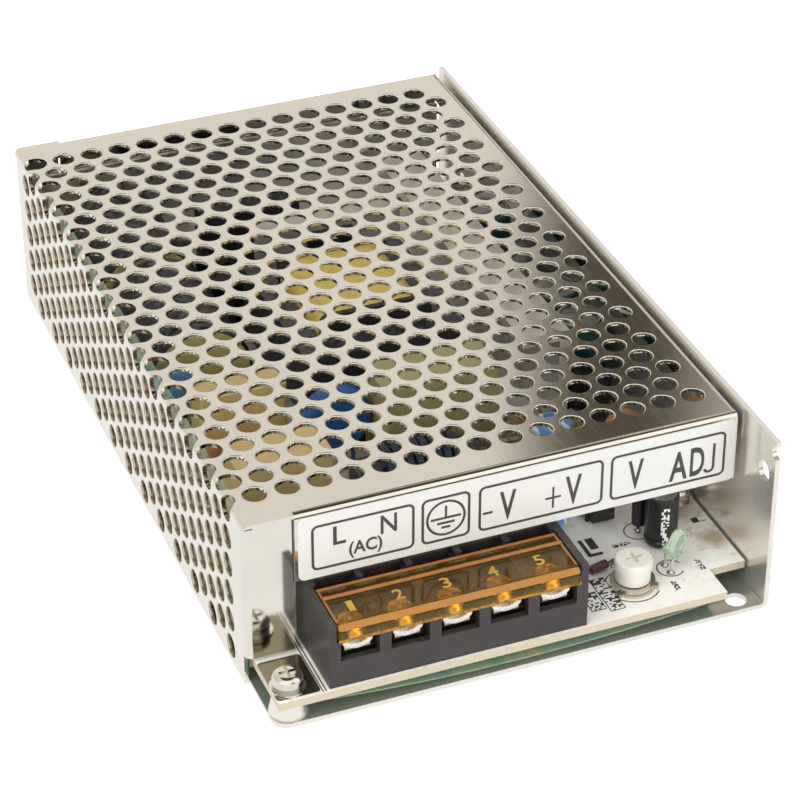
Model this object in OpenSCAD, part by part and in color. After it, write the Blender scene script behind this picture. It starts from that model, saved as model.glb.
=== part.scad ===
// Enclosed switching power supply: folded chassis, perforated cover, circuit board and terminal block.
// Millimetres. The origin is at the bottom centre of the case, +Z up, terminals towards -Y.

/* [Case] */
// Length of the case, front to back
case_l = 159; // [150:1:170]
// Width of the case over the cover's side and the chassis wall
case_w = 98; // [94:1:110]
// Height of the chassis wall
case_h = 37; // [36:0.5:44]
// Thickness of the chassis sheet
chassis_t = 1; // [0.8:0.1:1.2]
// Outside radius of the folds
bend_r = 1.4; // [1.2:0.1:1.8]

/* [Perforated cover] */
// Thickness of the cover sheet
cover_t = 0.8; // [0.6:0.1:1]
// How far the cover's top lies below the top of the chassis wall
cover_drop = 1; // [0.6:0.1:1.5]
// How far the cover's front face stands back from the front of the chassis
cover_setback = 12.6; // [11:0.1:16]
// Height of the lip that hangs over the terminals
lip_h = 14.3; // [12:0.1:16]
// Width of the return flanges at the left-hand corners
flange_w = 9.2; // [6:0.1:12]
// Height of the front return flange's foot above the board
flange_foot = 0.9; // [0.4:0.1:2]
// Depth of the flange inside the chassis wall
inner_flange_h = 6.5; // [5:0.1:9]
// Diameter of a perforation
hole_d = 4.8; // [4:0.1:5]
// Distance between perforations in a row
hole_pitch = 6.1; // [5.8:0.05:6.6]
// Distance between rows of perforations
row_pitch = 5.18; // [5:0.02:5.6]
// Front edge of the cover to the first row
first_row = 8.7; // [7:0.1:12]
// Plain strip left at the rear of the cover, at least
rear_margin = 4; // [3:0.1:10]
// Left face of the cover to the first full hole of the odd rows
first_col = 2.4; // [2.3:0.1:3]

/* [Board] */
// Thickness of the circuit board
board_t = 1.6; // [1:0.1:2]
// Gap between the chassis floor and the board
board_gap = 3.4; // [3:0.1:5]
// Clearance between the board and the sheets beside it
board_clear = 0.4; // [0.3:0.1:0.8]
// Board notch at the front right corner, across
notch_w = 7.4; // [6:0.1:10]
// Board notch at the front right corner, front to back
notch_l = 7.4; // [6:0.1:9]
// Diameter of the screws' shanks
screw_d = 3; // [2.5:0.1:3]
// Diameter of the pan heads
head_d = 5.6; // [5:0.1:6]
// Height of the pan heads
head_h = 2.2; // [1.8:0.1:2.6]

/* [Terminal block] */
// Number of terminals
poles = 5; // [5:1:5]
// Distance between terminals
pole_pitch = 9.5; // [9:0.1:9.8]
// Depth of the block, front to back
block_l = 17; // [16.6:0.1:18]
// Height of the end walls above the board
block_h = 13.6; // [13.2:0.1:14.2]
// Height of the seats for the contacts above the board
seat_h = 5.6; // [5:0.1:6]
// Thickness of the barriers between terminals
barrier_t = 2.2; // [1.8:0.1:2.4]
// Thickness of the end walls beside the clear cover
end_wall_t = 1.4; // [1.2:0.1:1.6]
// Thickness of the tinned contacts
contact_t = 1; // [0.8:0.1:1.2]
// Thickness of the captive clamp plates
clamp_t = 1; // [0.8:0.1:1.2]
// Diameter of the terminal screws' heads
term_head_d = 5.8; // [5:0.1:6.2]
// Thickness of the clear cover's plate
clear_t = 1.2; // [1:0.1:1.4]
// Width of the captive clamp plates
clamp_plate_w = 5.6; // [5.2:0.1:6]
// Outer radius of the clear cover's nose
nose_r = 2; // [1.6:0.1:2.4]
// Depth of the clear cover's front rim
rim_h = 3.2; // [2.8:0.1:3.6]

/* [Controls] */
// Diameter of the voltage adjuster's knob
knob_d = 7.2; // [6:0.1:8]
// Height of the voltage adjuster's knob
knob_h = 4.7; // [4:0.1:6]
// Diameter of the indicator lamp
led_d = 3; // [3:0.1:3.4]

/* [Inside] */
// Diameter of the two input reservoir capacitors
bulk_d = 22; // [18:1:24]
// Length of the two input reservoir capacitors
bulk_l = 30; // [25:1:31]
// Width of the transformer core
core_w = 34; // [30:1:36]
// Height of the transformer above the board
core_h = 25; // [20:1:27]
// Diameter of the output capacitors
output_can_d = 10; // [8:0.5:11]
// Height of the output capacitors
output_can_h = 20; // [16:1:25]
// Thickness of the heatsink plates
sink_t = 2; // [1.5:0.1:3]

/* [Hidden] */

$fn = 48;
fit = 0.3;              // running and seating clearance between separate pieces
slip = 0.1;             // clearance round a pin in its bore

// Cover, measured from the bottom front left corner of the case
cover_top = case_h - cover_drop;
cover_right = case_w - chassis_t - 0.6;
cover_l = case_l - cover_setback;
inner_r = bend_r - cover_t;
row_room = cover_l - first_row - rear_margin - hole_d / 2;
rows = floor(row_room / row_pitch) + 1;
side_foot = 0.5;        // the cover's side stops this far above the bottom of the case
fold_loss = 0.95;       // flat length that the left-hand fold takes up
fold_mid = fold_loss / 2;
lip_left = flange_w + 0.4;
lip_right = cover_right - 0.6;
rear_lip_h = 12;
rear_face = case_l - cover_t;

// Chassis
floor_left = cover_t + 0.2;
rear_wall_y = rear_face - 0.2 - chassis_t;
rear_wall_h = 29;
corner_r = 3;
relief = 1.5;           // cut where the two folded walls meet
wall_hole = [3.9, 28.6];
floor_hole = [case_w - 5.2, 3];
mount_d = 3;            // tapped fixing holes
access_d = 4;           // plain fixing holes at the front
mount_ys = [36, case_l - 20];
mount_xs = [22, case_w - 22];
side_mount_z = 16;
side_screws = [cover_setback + 14, case_l - 16];
side_screw_z = cover_top - inner_flange_h / 2 - 0.4;
rear_screws = [[14, 26.5], [case_w - 14, 26.5]];
sink_d = 5;             // countersunk heads of the cover's screws
sink_h = 0.7;

// Board
board_bottom = chassis_t + board_gap;
board_top = board_bottom + board_t;
board_left = floor_left + board_clear + 0.2;
board_right = case_w - chassis_t - board_clear;
board_back = rear_wall_y - 2;
board_screws_at = [[4.6, 4], [4.6, board_back - 5], [board_right - 3.6, board_back - 5],
    [board_right - 3.2, 30]];
boss_r = 2.9;
boss_foot_r = 3.6;

// Terminal block
block_left = 11.3;
block_w = poles * pole_pitch + barrier_t;
block_right = block_left + block_w;
block_front = 0.6;
block_back = block_front + block_l;
block_top = board_top + block_h;
seat_z = board_top + seat_h;
screw_y = block_front + 5;
clamp_w = pole_pitch - barrier_t - 0.6;
clamp_l = 7.2;
clamp_z = seat_z + contact_t;
well_y = screw_y + clamp_l / 2 + 1.2;
term_head_h = 2.2;
term_shank_d = 3;
hinge_y = 11.5;
hinge_d = 1.4;
clear_top = block_top - 0.3;
hinge_z = clear_top - clear_t;
clear_front = 0;
clear_w = block_w - 2 * end_wall_t - 2 * fit;
knuckle_r = clear_t;
channel_r = knuckle_r + fit;
rear_rib_t = 1.2;
rear_rib_l = block_back - hinge_y - channel_r;
pin_wall = 0.5;

function pole_x(i) = block_left + barrier_t / 2 + pole_pitch * (i + 0.5);

// Everything is drawn from the bottom front left corner of the case and then centred.
module in_case() {
    translate([-case_w / 2, -case_l / 2, 0]) children();
}

module on_board(x, y) {
    translate([x, y, board_top]) children();
}

// Inside the case a part's place is a share of the board's width and of its length.
function across(share) = board_left + share * (board_right - board_left);
function along(share) = share * board_back;
// Along the front edge it is a share of the room to the right of the terminal block.
function beside_block(share) = block_right + share * (board_right - block_right);

module at_share(x_share, y_share) {
    on_board(across(x_share), along(y_share)) children();
}

// A quarter turn of sheet along X, from the sheet's top face down to its front face.
module fold_along_x(length, outer, t) {
    rotate([90, 0, 90]) linear_extrude(length) difference() {
        intersection() {
            circle(outer);
            translate([-outer, 0]) square(outer);
        }
        circle(outer - t);
    }
}

// ---- Chassis: floor, right wall and rear wall folded from one sheet ----

module chassis_floor() {
    difference() {
        union() {
            translate([floor_left + corner_r, 0, 0])
                cube([case_w - bend_r - floor_left - corner_r, rear_wall_y, chassis_t]);
            translate([floor_left, corner_r, 0])
                cube([corner_r + 1, rear_wall_y - corner_r, chassis_t]);
            translate([floor_left + corner_r, corner_r, 0]) cylinder(h = chassis_t, r = corner_r);
        }
        translate([case_w - bend_r - relief, rear_wall_y - relief, -1]) cube([9, 9, 9]);
    }
}

module chassis_walls() {
    wall_x = case_w - chassis_t;
    fold = bend_r + 0.2;
    // right wall and its fold
    translate([wall_x, 0, fold]) cube([chassis_t, case_l, case_h - fold]);
    translate([case_w - fold, case_l, fold]) rotate([90, 0, 0]) linear_extrude(case_l)
        quarter_ring(fold, chassis_t);
    translate([case_w - bend_r - 1, 0, 0])
        cube([1 + bend_r - fold, rear_wall_y - relief, chassis_t]);
    // rear wall and its fold
    rear_w = case_w - chassis_t - 1.2 - floor_left - 1;
    translate([floor_left + 1, rear_wall_y, fold]) cube([rear_w, chassis_t, rear_wall_h - fold]);
    translate([floor_left + 1, rear_wall_y + chassis_t - fold, fold])
        rotate([90, 0, 90]) linear_extrude(rear_w - relief) quarter_ring(fold, chassis_t);
}

// Lower right quarter of a ring, the section of a fold.
module quarter_ring(outer, t) {
    difference() {
        intersection() {
            circle(outer);
            translate([0, -outer]) square(outer);
        }
        circle(outer - t);
    }
}

module chassis() color("silver") in_case() {
    difference() {
        union() {
            chassis_floor();
            chassis_walls();
            for (p = board_screws_at) translate([p[0], p[1], chassis_t - 0.01])
                cylinder(h = board_gap + 0.01, r1 = boss_foot_r, r2 = boss_r);
        }
        for (p = board_screws_at) translate([p[0], p[1], chassis_t])
            cylinder(h = 9, d = screw_d);
        for (x = mount_xs, y = mount_ys) translate([x, y, -1]) cylinder(h = 5, d = mount_d);
        translate([floor_hole[0], floor_hole[1], -1]) cylinder(h = 5, d = access_d);
        // holes in the right wall: access hole, open notch, side fixings and cover screws
        translate([case_w + 1, wall_hole[0], wall_hole[1]]) rotate([0, -90, 0])
            cylinder(h = 4, d = access_d);
        translate([case_w + 1, 0.2, case_h - 2.3]) rotate([0, -90, 0]) cylinder(h = 4, d = 2.8);
        for (y = mount_ys) translate([case_w + 1, y + 6, side_mount_z]) rotate([0, -90, 0])
            cylinder(h = 4, d = mount_d);
        for (y = side_screws) translate([case_w, y, side_screw_z]) rotate([0, 90, 0]) countersink();
        for (p = rear_screws) translate([p[0], rear_wall_y - 1, p[1]]) rotate([-90, 0, 0])
            cylinder(h = 3, d = screw_d - 0.4);
    }
}

// ---- Perforated cover: top, left side, lips and flanges folded from one punched sheet ----

// The pattern is punched before the sheet is folded. u is the distance along the flat sheet from
// where the left-hand face meets the top, positive on the top and negative down the side.

// Holes of one row whose edges lie between lo and hi.
function hole_us(row, lo, hi) = let (shift = row % 2 == 0 ? hole_pitch / 2 : 0)
    [for (i = [-8 : 30]) let (u = first_col + shift + i * hole_pitch)
        if (u - hole_d / 2 >= lo && u + hole_d / 2 <= hi) u];

function row_y(row) = cover_setback + first_row + row * row_pitch;

// Flat stretch of sheet from u0 to u1 with its holes; one cut by the fold shows its part.
module perforated_sheet(u0, u1, from, to, lo, hi) {
    difference() {
        translate([u0, from]) square([u1 - u0, to - from]);
        for (r = [0 : rows - 1], u = hole_us(r, lo, hi)) translate([u, row_y(r)]) circle(d = hole_d);
    }
}

module cover_top_sheet() {
    // the flat top, from the left-hand fold to the right-hand one
    translate([0, 0, cover_top - cover_t]) linear_extrude(cover_t) difference() {
        perforated_sheet(bend_r, cover_right - bend_r, cover_setback, case_l,
            -hole_d, cover_right - bend_r);
        translate([lip_left, cover_setback - 1]) square([case_w, 1 + bend_r]);
        translate([lip_left, case_l - bend_r]) square([case_w, 1 + bend_r]);
    }
}

module cover_side_sheet() {
    // the left side, whose flat pattern carries on from the top's round the fold
    foot = -(cover_top - side_foot - fold_loss);
    translate([0, 0, cover_top - fold_loss]) rotate([0, -90, 0]) mirror([0, 0, 1])
        linear_extrude(cover_t) perforated_sheet(foot, -bend_r + fold_loss,
            cover_setback + bend_r, case_l - bend_r, foot, hole_d);
}

module cover_folds() {
    // left-hand fold, with the parts of holes that wrap round it
    reach = bend_r + hole_d / 2;
    difference() {
        translate([bend_r, case_l, cover_top - bend_r]) rotate([90, 0, 0])
            linear_extrude(cover_l) rotate(180) quarter_ring_up();
        for (r = [0 : rows - 1], u = hole_us(r, fold_mid - 2 * reach, fold_mid + 2 * reach))
            translate([bend_r, row_y(r), cover_top - bend_r]) rotate([0, -45, 0])
                translate([u - fold_mid, 0, 0]) cylinder(h = 9, d = hole_d);
        for (y = [cover_setback, case_l - bend_r]) translate([-1, y - 0.01, cover_top - 9])
            cube([1 + cover_t + 0.01, bend_r + 0.02, 9 - bend_r]);
    }
    // right-hand fold and the flange that stands inside the chassis wall
    translate([cover_right - bend_r, case_l - bend_r, cover_top - bend_r]) rotate([90, 0, 0])
        linear_extrude(cover_l - 2 * bend_r) mirror([1, 0]) rotate(180) quarter_ring_up();
    difference() {
        translate([cover_right - cover_t, cover_setback + bend_r, cover_top - inner_flange_h])
            cube([cover_t, cover_l - 2 * bend_r, inner_flange_h - bend_r]);
        for (y = side_screws) translate([case_w, y, side_screw_z]) rotate([0, -90, 0])
            cylinder(h = 5, d = screw_d - 0.4);
    }
}

// Left-hand upper quarter of a ring once turned, the section of the cover's folds.
module quarter_ring_up() {
    difference() {
        intersection() {
            circle(bend_r);
            translate([0, -bend_r]) square(bend_r);
        }
        circle(inner_r);
    }
}

module cover_lips() {
    lip_w = lip_right - lip_left;
    // front lip and its fold
    translate([lip_left, cover_setback, cover_top - lip_h]) cube([lip_w, cover_t, lip_h - bend_r]);
    translate([lip_left, cover_setback + bend_r, cover_top - bend_r])
        fold_along_x(lip_w, bend_r, cover_t);
    // rear lip and its fold
    difference() {
        translate([lip_left, rear_face, cover_top - rear_lip_h])
            cube([lip_w, cover_t, rear_lip_h - bend_r]);
        for (p = rear_screws) translate([p[0], case_l, p[1]]) rotate([-90, 0, 0]) countersink();
    }
    translate([lip_left + lip_w, case_l - bend_r, cover_top - bend_r]) rotate([0, 0, 180])
        fold_along_x(lip_w, bend_r, cover_t);
}

// Return flange across the case at the end of the left side, with its upright fold.
module return_flange(foot) {
    top = cover_top - cover_t;
    translate([bend_r, cover_setback, foot]) cube([flange_w - bend_r, cover_t, top - foot]);
    translate([bend_r, cover_setback + bend_r, foot]) linear_extrude(top - foot) difference() {
        intersection() {
            circle(bend_r);
            translate([-bend_r, -bend_r]) square(bend_r);
        }
        circle(inner_r);
    }
}

module perforated_cover() color("gainsboro") in_case() {
    union() {
        cover_top_sheet();
        cover_side_sheet();
        cover_folds();
        cover_lips();
        return_flange(board_top + flange_foot);
        translate([0, case_l + cover_setback, 0]) mirror([0, 1, 0]) return_flange(side_foot);
    }
}

// ---- Board and what holds it ----

module circuit_board() color("ivory") in_case() {
    difference() {
        translate([board_left, 0, board_bottom])
            cube([board_right - board_left, board_back, board_t]);
        translate([board_right - notch_w, -1, board_bottom - 1])
            cube([notch_w + 1, notch_l + 1, board_t + 2]);
        for (p = board_screws_at) translate([p[0], p[1], board_bottom - 1])
            cylinder(h = board_t + 2, d = screw_d + 0.4);
    }
}

// Clear film that bows between the board and the floor and stands up inside the cover's side.
film_t = 0.25;
film_from = board_left + 7;
film_to = board_right - notch_w - 2;
film_high = board_bottom - 0.1;
film_sag = board_gap - 1.2;
tongue_h = 28;
tongue_lean = 2.2;      // its top leans away from the cover
function film_at(u) = [film_from + (film_to - film_from) * u,
    film_high - film_t - 4 * film_sag * u * (1 - u)];

module insulating_sheet() color("honeydew") in_case() {
    steps = 20;
    upper = [for (k = [0 : steps]) film_at(k / steps) + [0, film_t]];
    lower = [for (k = [steps : -1 : 0]) film_at(k / steps)];
    front = 0.6;
    back = board_back - 10;
    translate([0, back, 0]) rotate([90, 0, 0]) linear_extrude(back - front)
        polygon(concat(upper, lower));
    // side tongue, clear of the bosses at the corners
    tongue_x = floor_left + 0.05;
    tongue_front = cover_setback + bend_r;
    translate([tongue_x, tongue_front, film_high - film_t])
        cube([film_from - tongue_x + 0.4, back - tongue_front, film_t]);
    translate([tongue_x, back, film_high - film_t]) rotate([90, 0, 0])
        linear_extrude(back - tongue_front)
            polygon([[0, 0], [film_t, 0], [film_t + tongue_lean, tongue_h], [tongue_lean, tongue_h]]);
}

module pan_screw(shank_l) {
    difference() {
        union() {
            rotate_extrude() pan_profile();
            translate([0, 0, -shank_l]) cylinder(h = shank_l + 0.1, d = screw_d - 0.2);
        }
        cross_slot(head_d * 0.55, head_h * 0.55, head_h);
    }
}

// Half section of a pan head with its rounded shoulder.
module pan_profile() {
    r = head_d / 2;
    shoulder = head_h * 0.6;
    intersection() {
        union() {
            square([r - shoulder, head_h]);
            square([r, head_h - shoulder]);
            translate([r - shoulder, head_h - shoulder]) circle(shoulder);
        }
        square([r, head_h]);
    }
}

module cross_slot(span, depth, top) {
    slot_w = 0.7;
    for (a = [0, 90]) rotate(a) translate([-span / 2, -slot_w / 2, top - depth])
        cube([span, slot_w, depth + 1]);
}

module washer(outer, inner, t) {
    difference() {
        cylinder(h = t, d = outer);
        translate([0, 0, -1]) cylinder(h = t + 2, d = inner);
    }
}
flat_washer_t = 0.5;
spring_washer_t = 0.8;

module board_screws() color("gainsboro") in_case() {
    lift = flat_washer_t + spring_washer_t;
    for (p = board_screws_at) on_board(p[0], p[1]) translate([0, 0, lift])
        pan_screw(lift + board_t + board_gap - 0.2);
}

module board_spring_washers() color("silver") in_case() {
    for (p = board_screws_at) on_board(p[0], p[1]) translate([0, 0, flat_washer_t])
        difference() {
            washer(5.2, screw_d + 0.2, spring_washer_t);
            rotate(40) translate([0, -0.3, -1]) cube([9, 0.6, 9]);
        }
}

module board_flat_washers() color("silver") in_case() {
    for (p = board_screws_at) on_board(p[0], p[1]) washer(6.6, screw_d + 0.2, flat_washer_t);
}

module cover_screws() color("gainsboro") in_case() {
    for (y = side_screws) translate([case_w, y, side_screw_z]) rotate([0, 90, 0]) cover_screw();
    for (p = rear_screws) translate([p[0], case_l, p[1]]) rotate([-90, 0, 0]) cover_screw();
}

module cover_screw() {
    difference() {
        union() {
            translate([0, 0, -sink_h]) cylinder(h = sink_h, d1 = screw_d, d2 = sink_d);
            translate([0, 0, -3.2]) cylinder(h = 3, d = screw_d - 0.6);
        }
        cross_slot(2.6, 0.5, 0);
    }
}

// Room for a countersunk cover screw, its mouth at z = 0.
module countersink() {
    over = 0.1;
    flare = (sink_d - screw_d) / sink_h;
    translate([0, 0, -sink_h])
        cylinder(h = sink_h + over, d1 = screw_d + 2 * slip, d2 = sink_d + 2 * slip + flare * over);
    translate([0, 0, -3]) cylinder(h = 4, d = screw_d + 2 * slip);
}

// ---- Terminal block ----

module terminal_block() color("dimgray") in_case() {
    difference() {
        translate([block_left, block_front, board_top]) union() {
            // base, rear wall, end walls and barriers in one moulding
            cube([block_w, block_l, seat_h]);
            translate([0, block_l - 2, 0]) cube([block_w, 2, block_h - 1]);
            for (i = [0 : poles]) translate([i * pole_pitch, 0, 0]) barrier(i == 0 || i == poles);
            // thin ribs that carry the barriers up behind the clear cover
            for (i = [1 : poles - 1])
                translate([i * pole_pitch + (barrier_t - rear_rib_t) / 2, block_l - rear_rib_l, 0])
                    cube([rear_rib_t, rear_rib_l - 1, clear_top - board_top]);
        }
        // wells behind the seats, for the solder pins
        for (i = [0 : poles - 1])
            translate([pole_x(i) - clamp_w / 2, well_y, board_top + 2])
                cube([clamp_w, block_back - 2 - well_y, block_h]);
        // room between the thinner upper parts of the end walls for the clear cover
        for (x = [block_left + end_wall_t, block_right - barrier_t - fit])
            translate([x, 0, clear_top - rim_h - fit])
                cube([barrier_t - end_wall_t + fit, hinge_y + channel_r, block_h]);
        // channel in which the clear cover's knuckle turns
        translate([block_left + end_wall_t, hinge_y, hinge_z]) rotate([0, 90, 0])
            cylinder(h = block_w - 2 * end_wall_t, r = channel_r);
        // bores for the clear cover's hinge pins
        translate([block_left + pin_wall, hinge_y, hinge_z]) rotate([0, 90, 0])
            cylinder(h = block_w - 2 * pin_wall, d = hinge_d + 2 * slip);
        // threads of the terminal screws
        for (i = [0 : poles - 1]) translate([pole_x(i), screw_y, board_top + 1])
            cylinder(h = seat_h, d = term_shank_d + slip);
    }
}

// End walls stand full height, the barriers between poles drop at the front for the clear cover.
module barrier(is_end) {
    low = clear_top - rim_h - board_top - 0.4;
    high = is_end ? block_h : hinge_z - board_top - 0.4;
    front_h = is_end ? high : low;
    rotate([90, 0, 90]) linear_extrude(barrier_t) union() {
        square([block_l, front_h]);
        translate([is_end ? 0 : 2.2, 0]) square([block_l - (is_end ? 0 : 2.2), high - 1.2]);
        translate([is_end ? 1.2 : 3.4, 0]) square([block_l - (is_end ? 2.4 : 4.6), high]);
        translate([is_end ? 1.2 : 3.4, high - 1.2]) circle(1.2);
        translate([block_l - 1.2, high - 1.2]) circle(1.2);
    }
}

module terminal_contacts() color("lightgray") in_case() {
    for (i = [0 : poles - 1]) translate([pole_x(i), screw_y, seat_z]) difference() {
        union() {
            translate([-clamp_w / 2, -clamp_l / 2, 0]) cube([clamp_w, clamp_l + 2.4, contact_t]);
            // tail that turns down to the board in the well
            translate([-1.5, clamp_l / 2 + 2.4 - contact_t, -seat_h + 2])
                cube([3, contact_t, seat_h - 1.5]);
        }
        translate([0, 0, -1]) cylinder(h = 3, d = term_shank_d + slip);
    }
}

// A flat plate, its front edge pressed into a cradle that guides the wire in.
module clamp_plate(i) color("whitesmoke") in_case() translate([pole_x(i), screw_y, clamp_z]) {
    cradle_r = 3.6;
    cradle_h = clamp_t + 0.7;
    cradle_t = 0.5;
    flat_w = clamp_plate_w - 0.8;
    difference() {
        union() {
            translate([-flat_w / 2, cradle_t / 2 - clamp_l / 2, 0])
                cube([flat_w, clamp_l - cradle_t / 2, clamp_t]);
            translate([0, cradle_t - clamp_l / 2, 0]) rotate([90, 0, 0])
                linear_extrude(cradle_t) intersection() {
                    difference() {
                        translate([0, cradle_r]) circle(cradle_r);
                        translate([0, cradle_r + clamp_t]) circle(cradle_r);
                    }
                    translate([-clamp_plate_w / 2, 0]) square([clamp_plate_w, cradle_h]);
                }
        }
        translate([0, 0, -1]) cylinder(h = 4, d = term_shank_d + slip);
    }
}

module terminal_screw(i) color("gainsboro") in_case()
    translate([pole_x(i), screw_y, clamp_z + clamp_t]) difference() {
        union() {
            cylinder(h = term_head_h - 0.6, d = term_head_d);
            translate([0, 0, term_head_h - 0.6])
                cylinder(h = 0.6, d1 = term_head_d, d2 = term_head_d - 1.2);
            translate([0, 0, -6]) cylinder(h = 6.1, d = term_shank_d - slip);
        }
        cross_slot(3.6, 1.2, term_head_h);
    }

// Clear cover: a plate that rolls over into its front rim, a stiffening rib and hinge pins.
module terminal_cover() color("orange") in_case() {
    from_x = block_left + end_wall_t + fit;
    rib_y = hinge_y - 3.1;
    inner_r = nose_r - clear_t;
    rim_z = clear_top - rim_h;
    nose_z = clear_top - nose_r;
    translate([from_x, 0, 0]) rotate([90, 0, 90]) linear_extrude(clear_w) union() {
        translate([clear_front + nose_r, hinge_z])
            square([hinge_y - clear_front - nose_r, clear_t]);
        translate([clear_front, rim_z]) square([clear_t, nose_z - rim_z]);
        intersection() {
            translate([clear_front + nose_r, nose_z]) difference() {
                circle(nose_r);
                circle(inner_r);
            }
            translate([clear_front, nose_z]) square(nose_r);
        }
        translate([hinge_y, hinge_z]) circle(knuckle_r);
        translate([rib_y, hinge_z]) square([0.8, clear_t + 0.3]);
    }
    for (side = [0, 1]) translate([side == 0 ? from_x - 0.9 : from_x + clear_w - 0.5, hinge_y, hinge_z])
        rotate([0, 90, 0]) cylinder(h = 1.4, d = hinge_d);
}

// ---- Voltage adjuster, indicator and small parts along the front ----

adjuster_at = [beside_block(0.3596), 8.3];
adjuster_base_h = 1.6;
adjuster_pin_d = 2;

module adjuster_base() color("tan") in_case() on_board(adjuster_at[0], adjuster_at[1]) {
    difference() {
        union() {
            cylinder(h = adjuster_base_h, d = knob_d + 1.2);
            for (a = [90, 210, 330]) rotate(a) translate([knob_d / 2 - 0.2, -0.6, 0])
                cube([1.4, 1.2, 0.8]);
        }
        translate([0, 0, 0.4]) cylinder(h = 9, d = adjuster_pin_d + 2 * slip);
    }
}

module adjuster_knob() color("white") in_case()
    on_board(adjuster_at[0], adjuster_at[1]) difference() {
        lift = adjuster_base_h + 0.2;
        union() {
            translate([0, 0, 0.5]) cylinder(h = lift, d = adjuster_pin_d);
            translate([0, 0, lift]) rotate_extrude() union() {
                square([knob_d / 2 - 0.3, knob_h - 0.8]);
                translate([0, knob_h - 2]) square([knob_d / 2, 1.4]);
                translate([0, knob_h - 1]) square([knob_d / 2 - 0.6, 1]);
                translate([knob_d / 2 - 0.6, knob_h - 0.6]) circle(0.6);
            }
        }
        cross_slot(knob_d * 0.45, 0.7, lift + knob_h);
    }

led_foot = [beside_block(0.6067), 10.4];
led_tilt = 24;
led_lift = 3.4;

module lean_led() {
    on_board(led_foot[0], led_foot[1]) translate([0, 0, led_lift]) rotate([0, led_tilt, 0])
        children();
}

module indicator_lamp() color("lightgreen") in_case() lean_led() rotate_extrude() {
    r = led_d / 2;
    square([r + 0.4, 1]);
    square([r, 3.8]);
    intersection() {
        translate([0, 3.8]) circle(r);
        translate([0, 3]) square(9);
    }
}

module indicator_leads() color("silver") in_case() {
    for (side = [-1, 1]) {
        lean_led() translate([0, side * 1.27, -1.2]) cylinder(h = 1.2, d = 0.5);
        on_board(led_foot[0] - 1.2 * sin(led_tilt), led_foot[1] + side * 1.27)
            cylinder(h = led_lift - 1.2 * cos(led_tilt) + 0.1, d = 0.5);
    }
}

// Radial can: rolled groove near the seal, rounded shoulders and two leads.
module can(d, h, seat = 0.6) {
    r = d / 2;
    edge = min(0.8, d / 10);
    translate([0, 0, seat]) rotate_extrude() difference() {
        union() {
            square([r - edge, h]);
            translate([0, edge]) square([r, h - 2 * edge]);
            translate([r - edge, edge]) circle(edge);
            translate([r - edge, h - edge]) circle(edge);
        }
        translate([r + 0.35 * edge, 2.6 * edge]) circle(edge);
        translate([0, h - 0.3]) square([r - 1.4 * edge, 1]);
        translate([-r, -1]) square([r, h + 2]);
    }
    for (s = [-1, 1]) translate([s * d / 5, 0, 0]) cylinder(h = seat + 0.1, d = 0.6);
}

module front_capacitor() color("darkslategray") in_case()
    on_board(beside_block(0.6573), 18.4) can(small_can_d, small_can_h);

// Standing resistor in a sleeve: one lead goes down and the other loops over beside it.
sleeve_d = 2.7;
sleeve_h = 8;
sleeve_foot = 1.8;
lead_d = 0.6;
loop_w = 2.9;
loop_z = sleeve_foot + sleeve_h + 0.8;

module sleeved_resistor() color("black") in_case() on_board(beside_block(0.5955), 23.4) {
    translate([0, 0, sleeve_foot]) cylinder(h = sleeve_h, d = sleeve_d);
    cylinder(h = sleeve_foot + 0.2, d = lead_d);
    translate([0, 0, sleeve_foot + sleeve_h - 0.1]) cylinder(h = 1.2, d = lead_d);
    translate([0, 0, loop_z]) rotate([0, 90, 0]) cylinder(h = loop_w + 0.1, d = lead_d);
    translate([loop_w, 0, 0]) cylinder(h = loop_z, d = lead_d);
}

// Axial part lying on the board, its leads bent down at each end.
module axial(body_d, body_l, lead_d, span) {
    z = body_d / 2 + 0.3;
    translate([-body_l / 2, 0, z]) rotate([0, 90, 0]) cylinder(h = body_l, d = body_d);
    translate([-span / 2, 0, z]) rotate([0, 90, 0]) cylinder(h = span, d = lead_d);
    for (s = [-1, 1]) translate([s * span / 2, 0, 0]) cylinder(h = z + lead_d / 2, d = lead_d);
}

module glass_diode() color("sienna") in_case()
    on_board(beside_block(0.2416), 14.2) rotate(15) axial(1.8, 3.6, 0.5, 7);

// ---- Input side ----

fuse_at = [0.1937, 0.1613];      // shares of the board
fuse_l = 16;            // glass between the caps
fuse_d = 5;
fuse_z = 4.2;
fuse_cap_l = 3;
fuse_cap_d = 5.4;

module fuse_glass() color("azure") in_case() at_share(fuse_at[0], fuse_at[1])
    translate([-fuse_l / 2, 0, fuse_z]) rotate([0, 90, 0]) cylinder(h = fuse_l, d = fuse_d);

module fuse_caps() color("silver") in_case() at_share(fuse_at[0], fuse_at[1]) for (s = [-1, 1]) {
    middle = s * (fuse_l + fuse_cap_l) / 2;
    translate([middle - fuse_cap_l / 2, 0, fuse_z]) rotate([0, 90, 0])
        cylinder(h = fuse_cap_l, d = fuse_cap_d);
    // clip that grips the cap from below
    translate([middle - 1.2, -2.6, 0]) cube([2.4, 5.2, fuse_z - fuse_cap_d / 2 + 0.2]);
}

module box_part(size, corner = 1) {
    translate([-size[0] / 2 + corner, -size[1] / 2, 0]) cube([size[0] - 2 * corner, size[1], size[2]]);
    translate([-size[0] / 2, -size[1] / 2 + corner, 0]) cube([size[0], size[1] - 2 * corner, size[2]]);
    for (sx = [-1, 1], sy = [-1, 1])
        translate([sx * (size[0] / 2 - corner), sy * (size[1] / 2 - corner), 0])
            cylinder(h = size[2], r = corner);
}

line_box_front = [19, 11, 17];
line_box_middle = [24, 11.5, 20];
line_box_rear = [18, 7, 16];
line_middle_at = [0.5726, 0.404];

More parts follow.
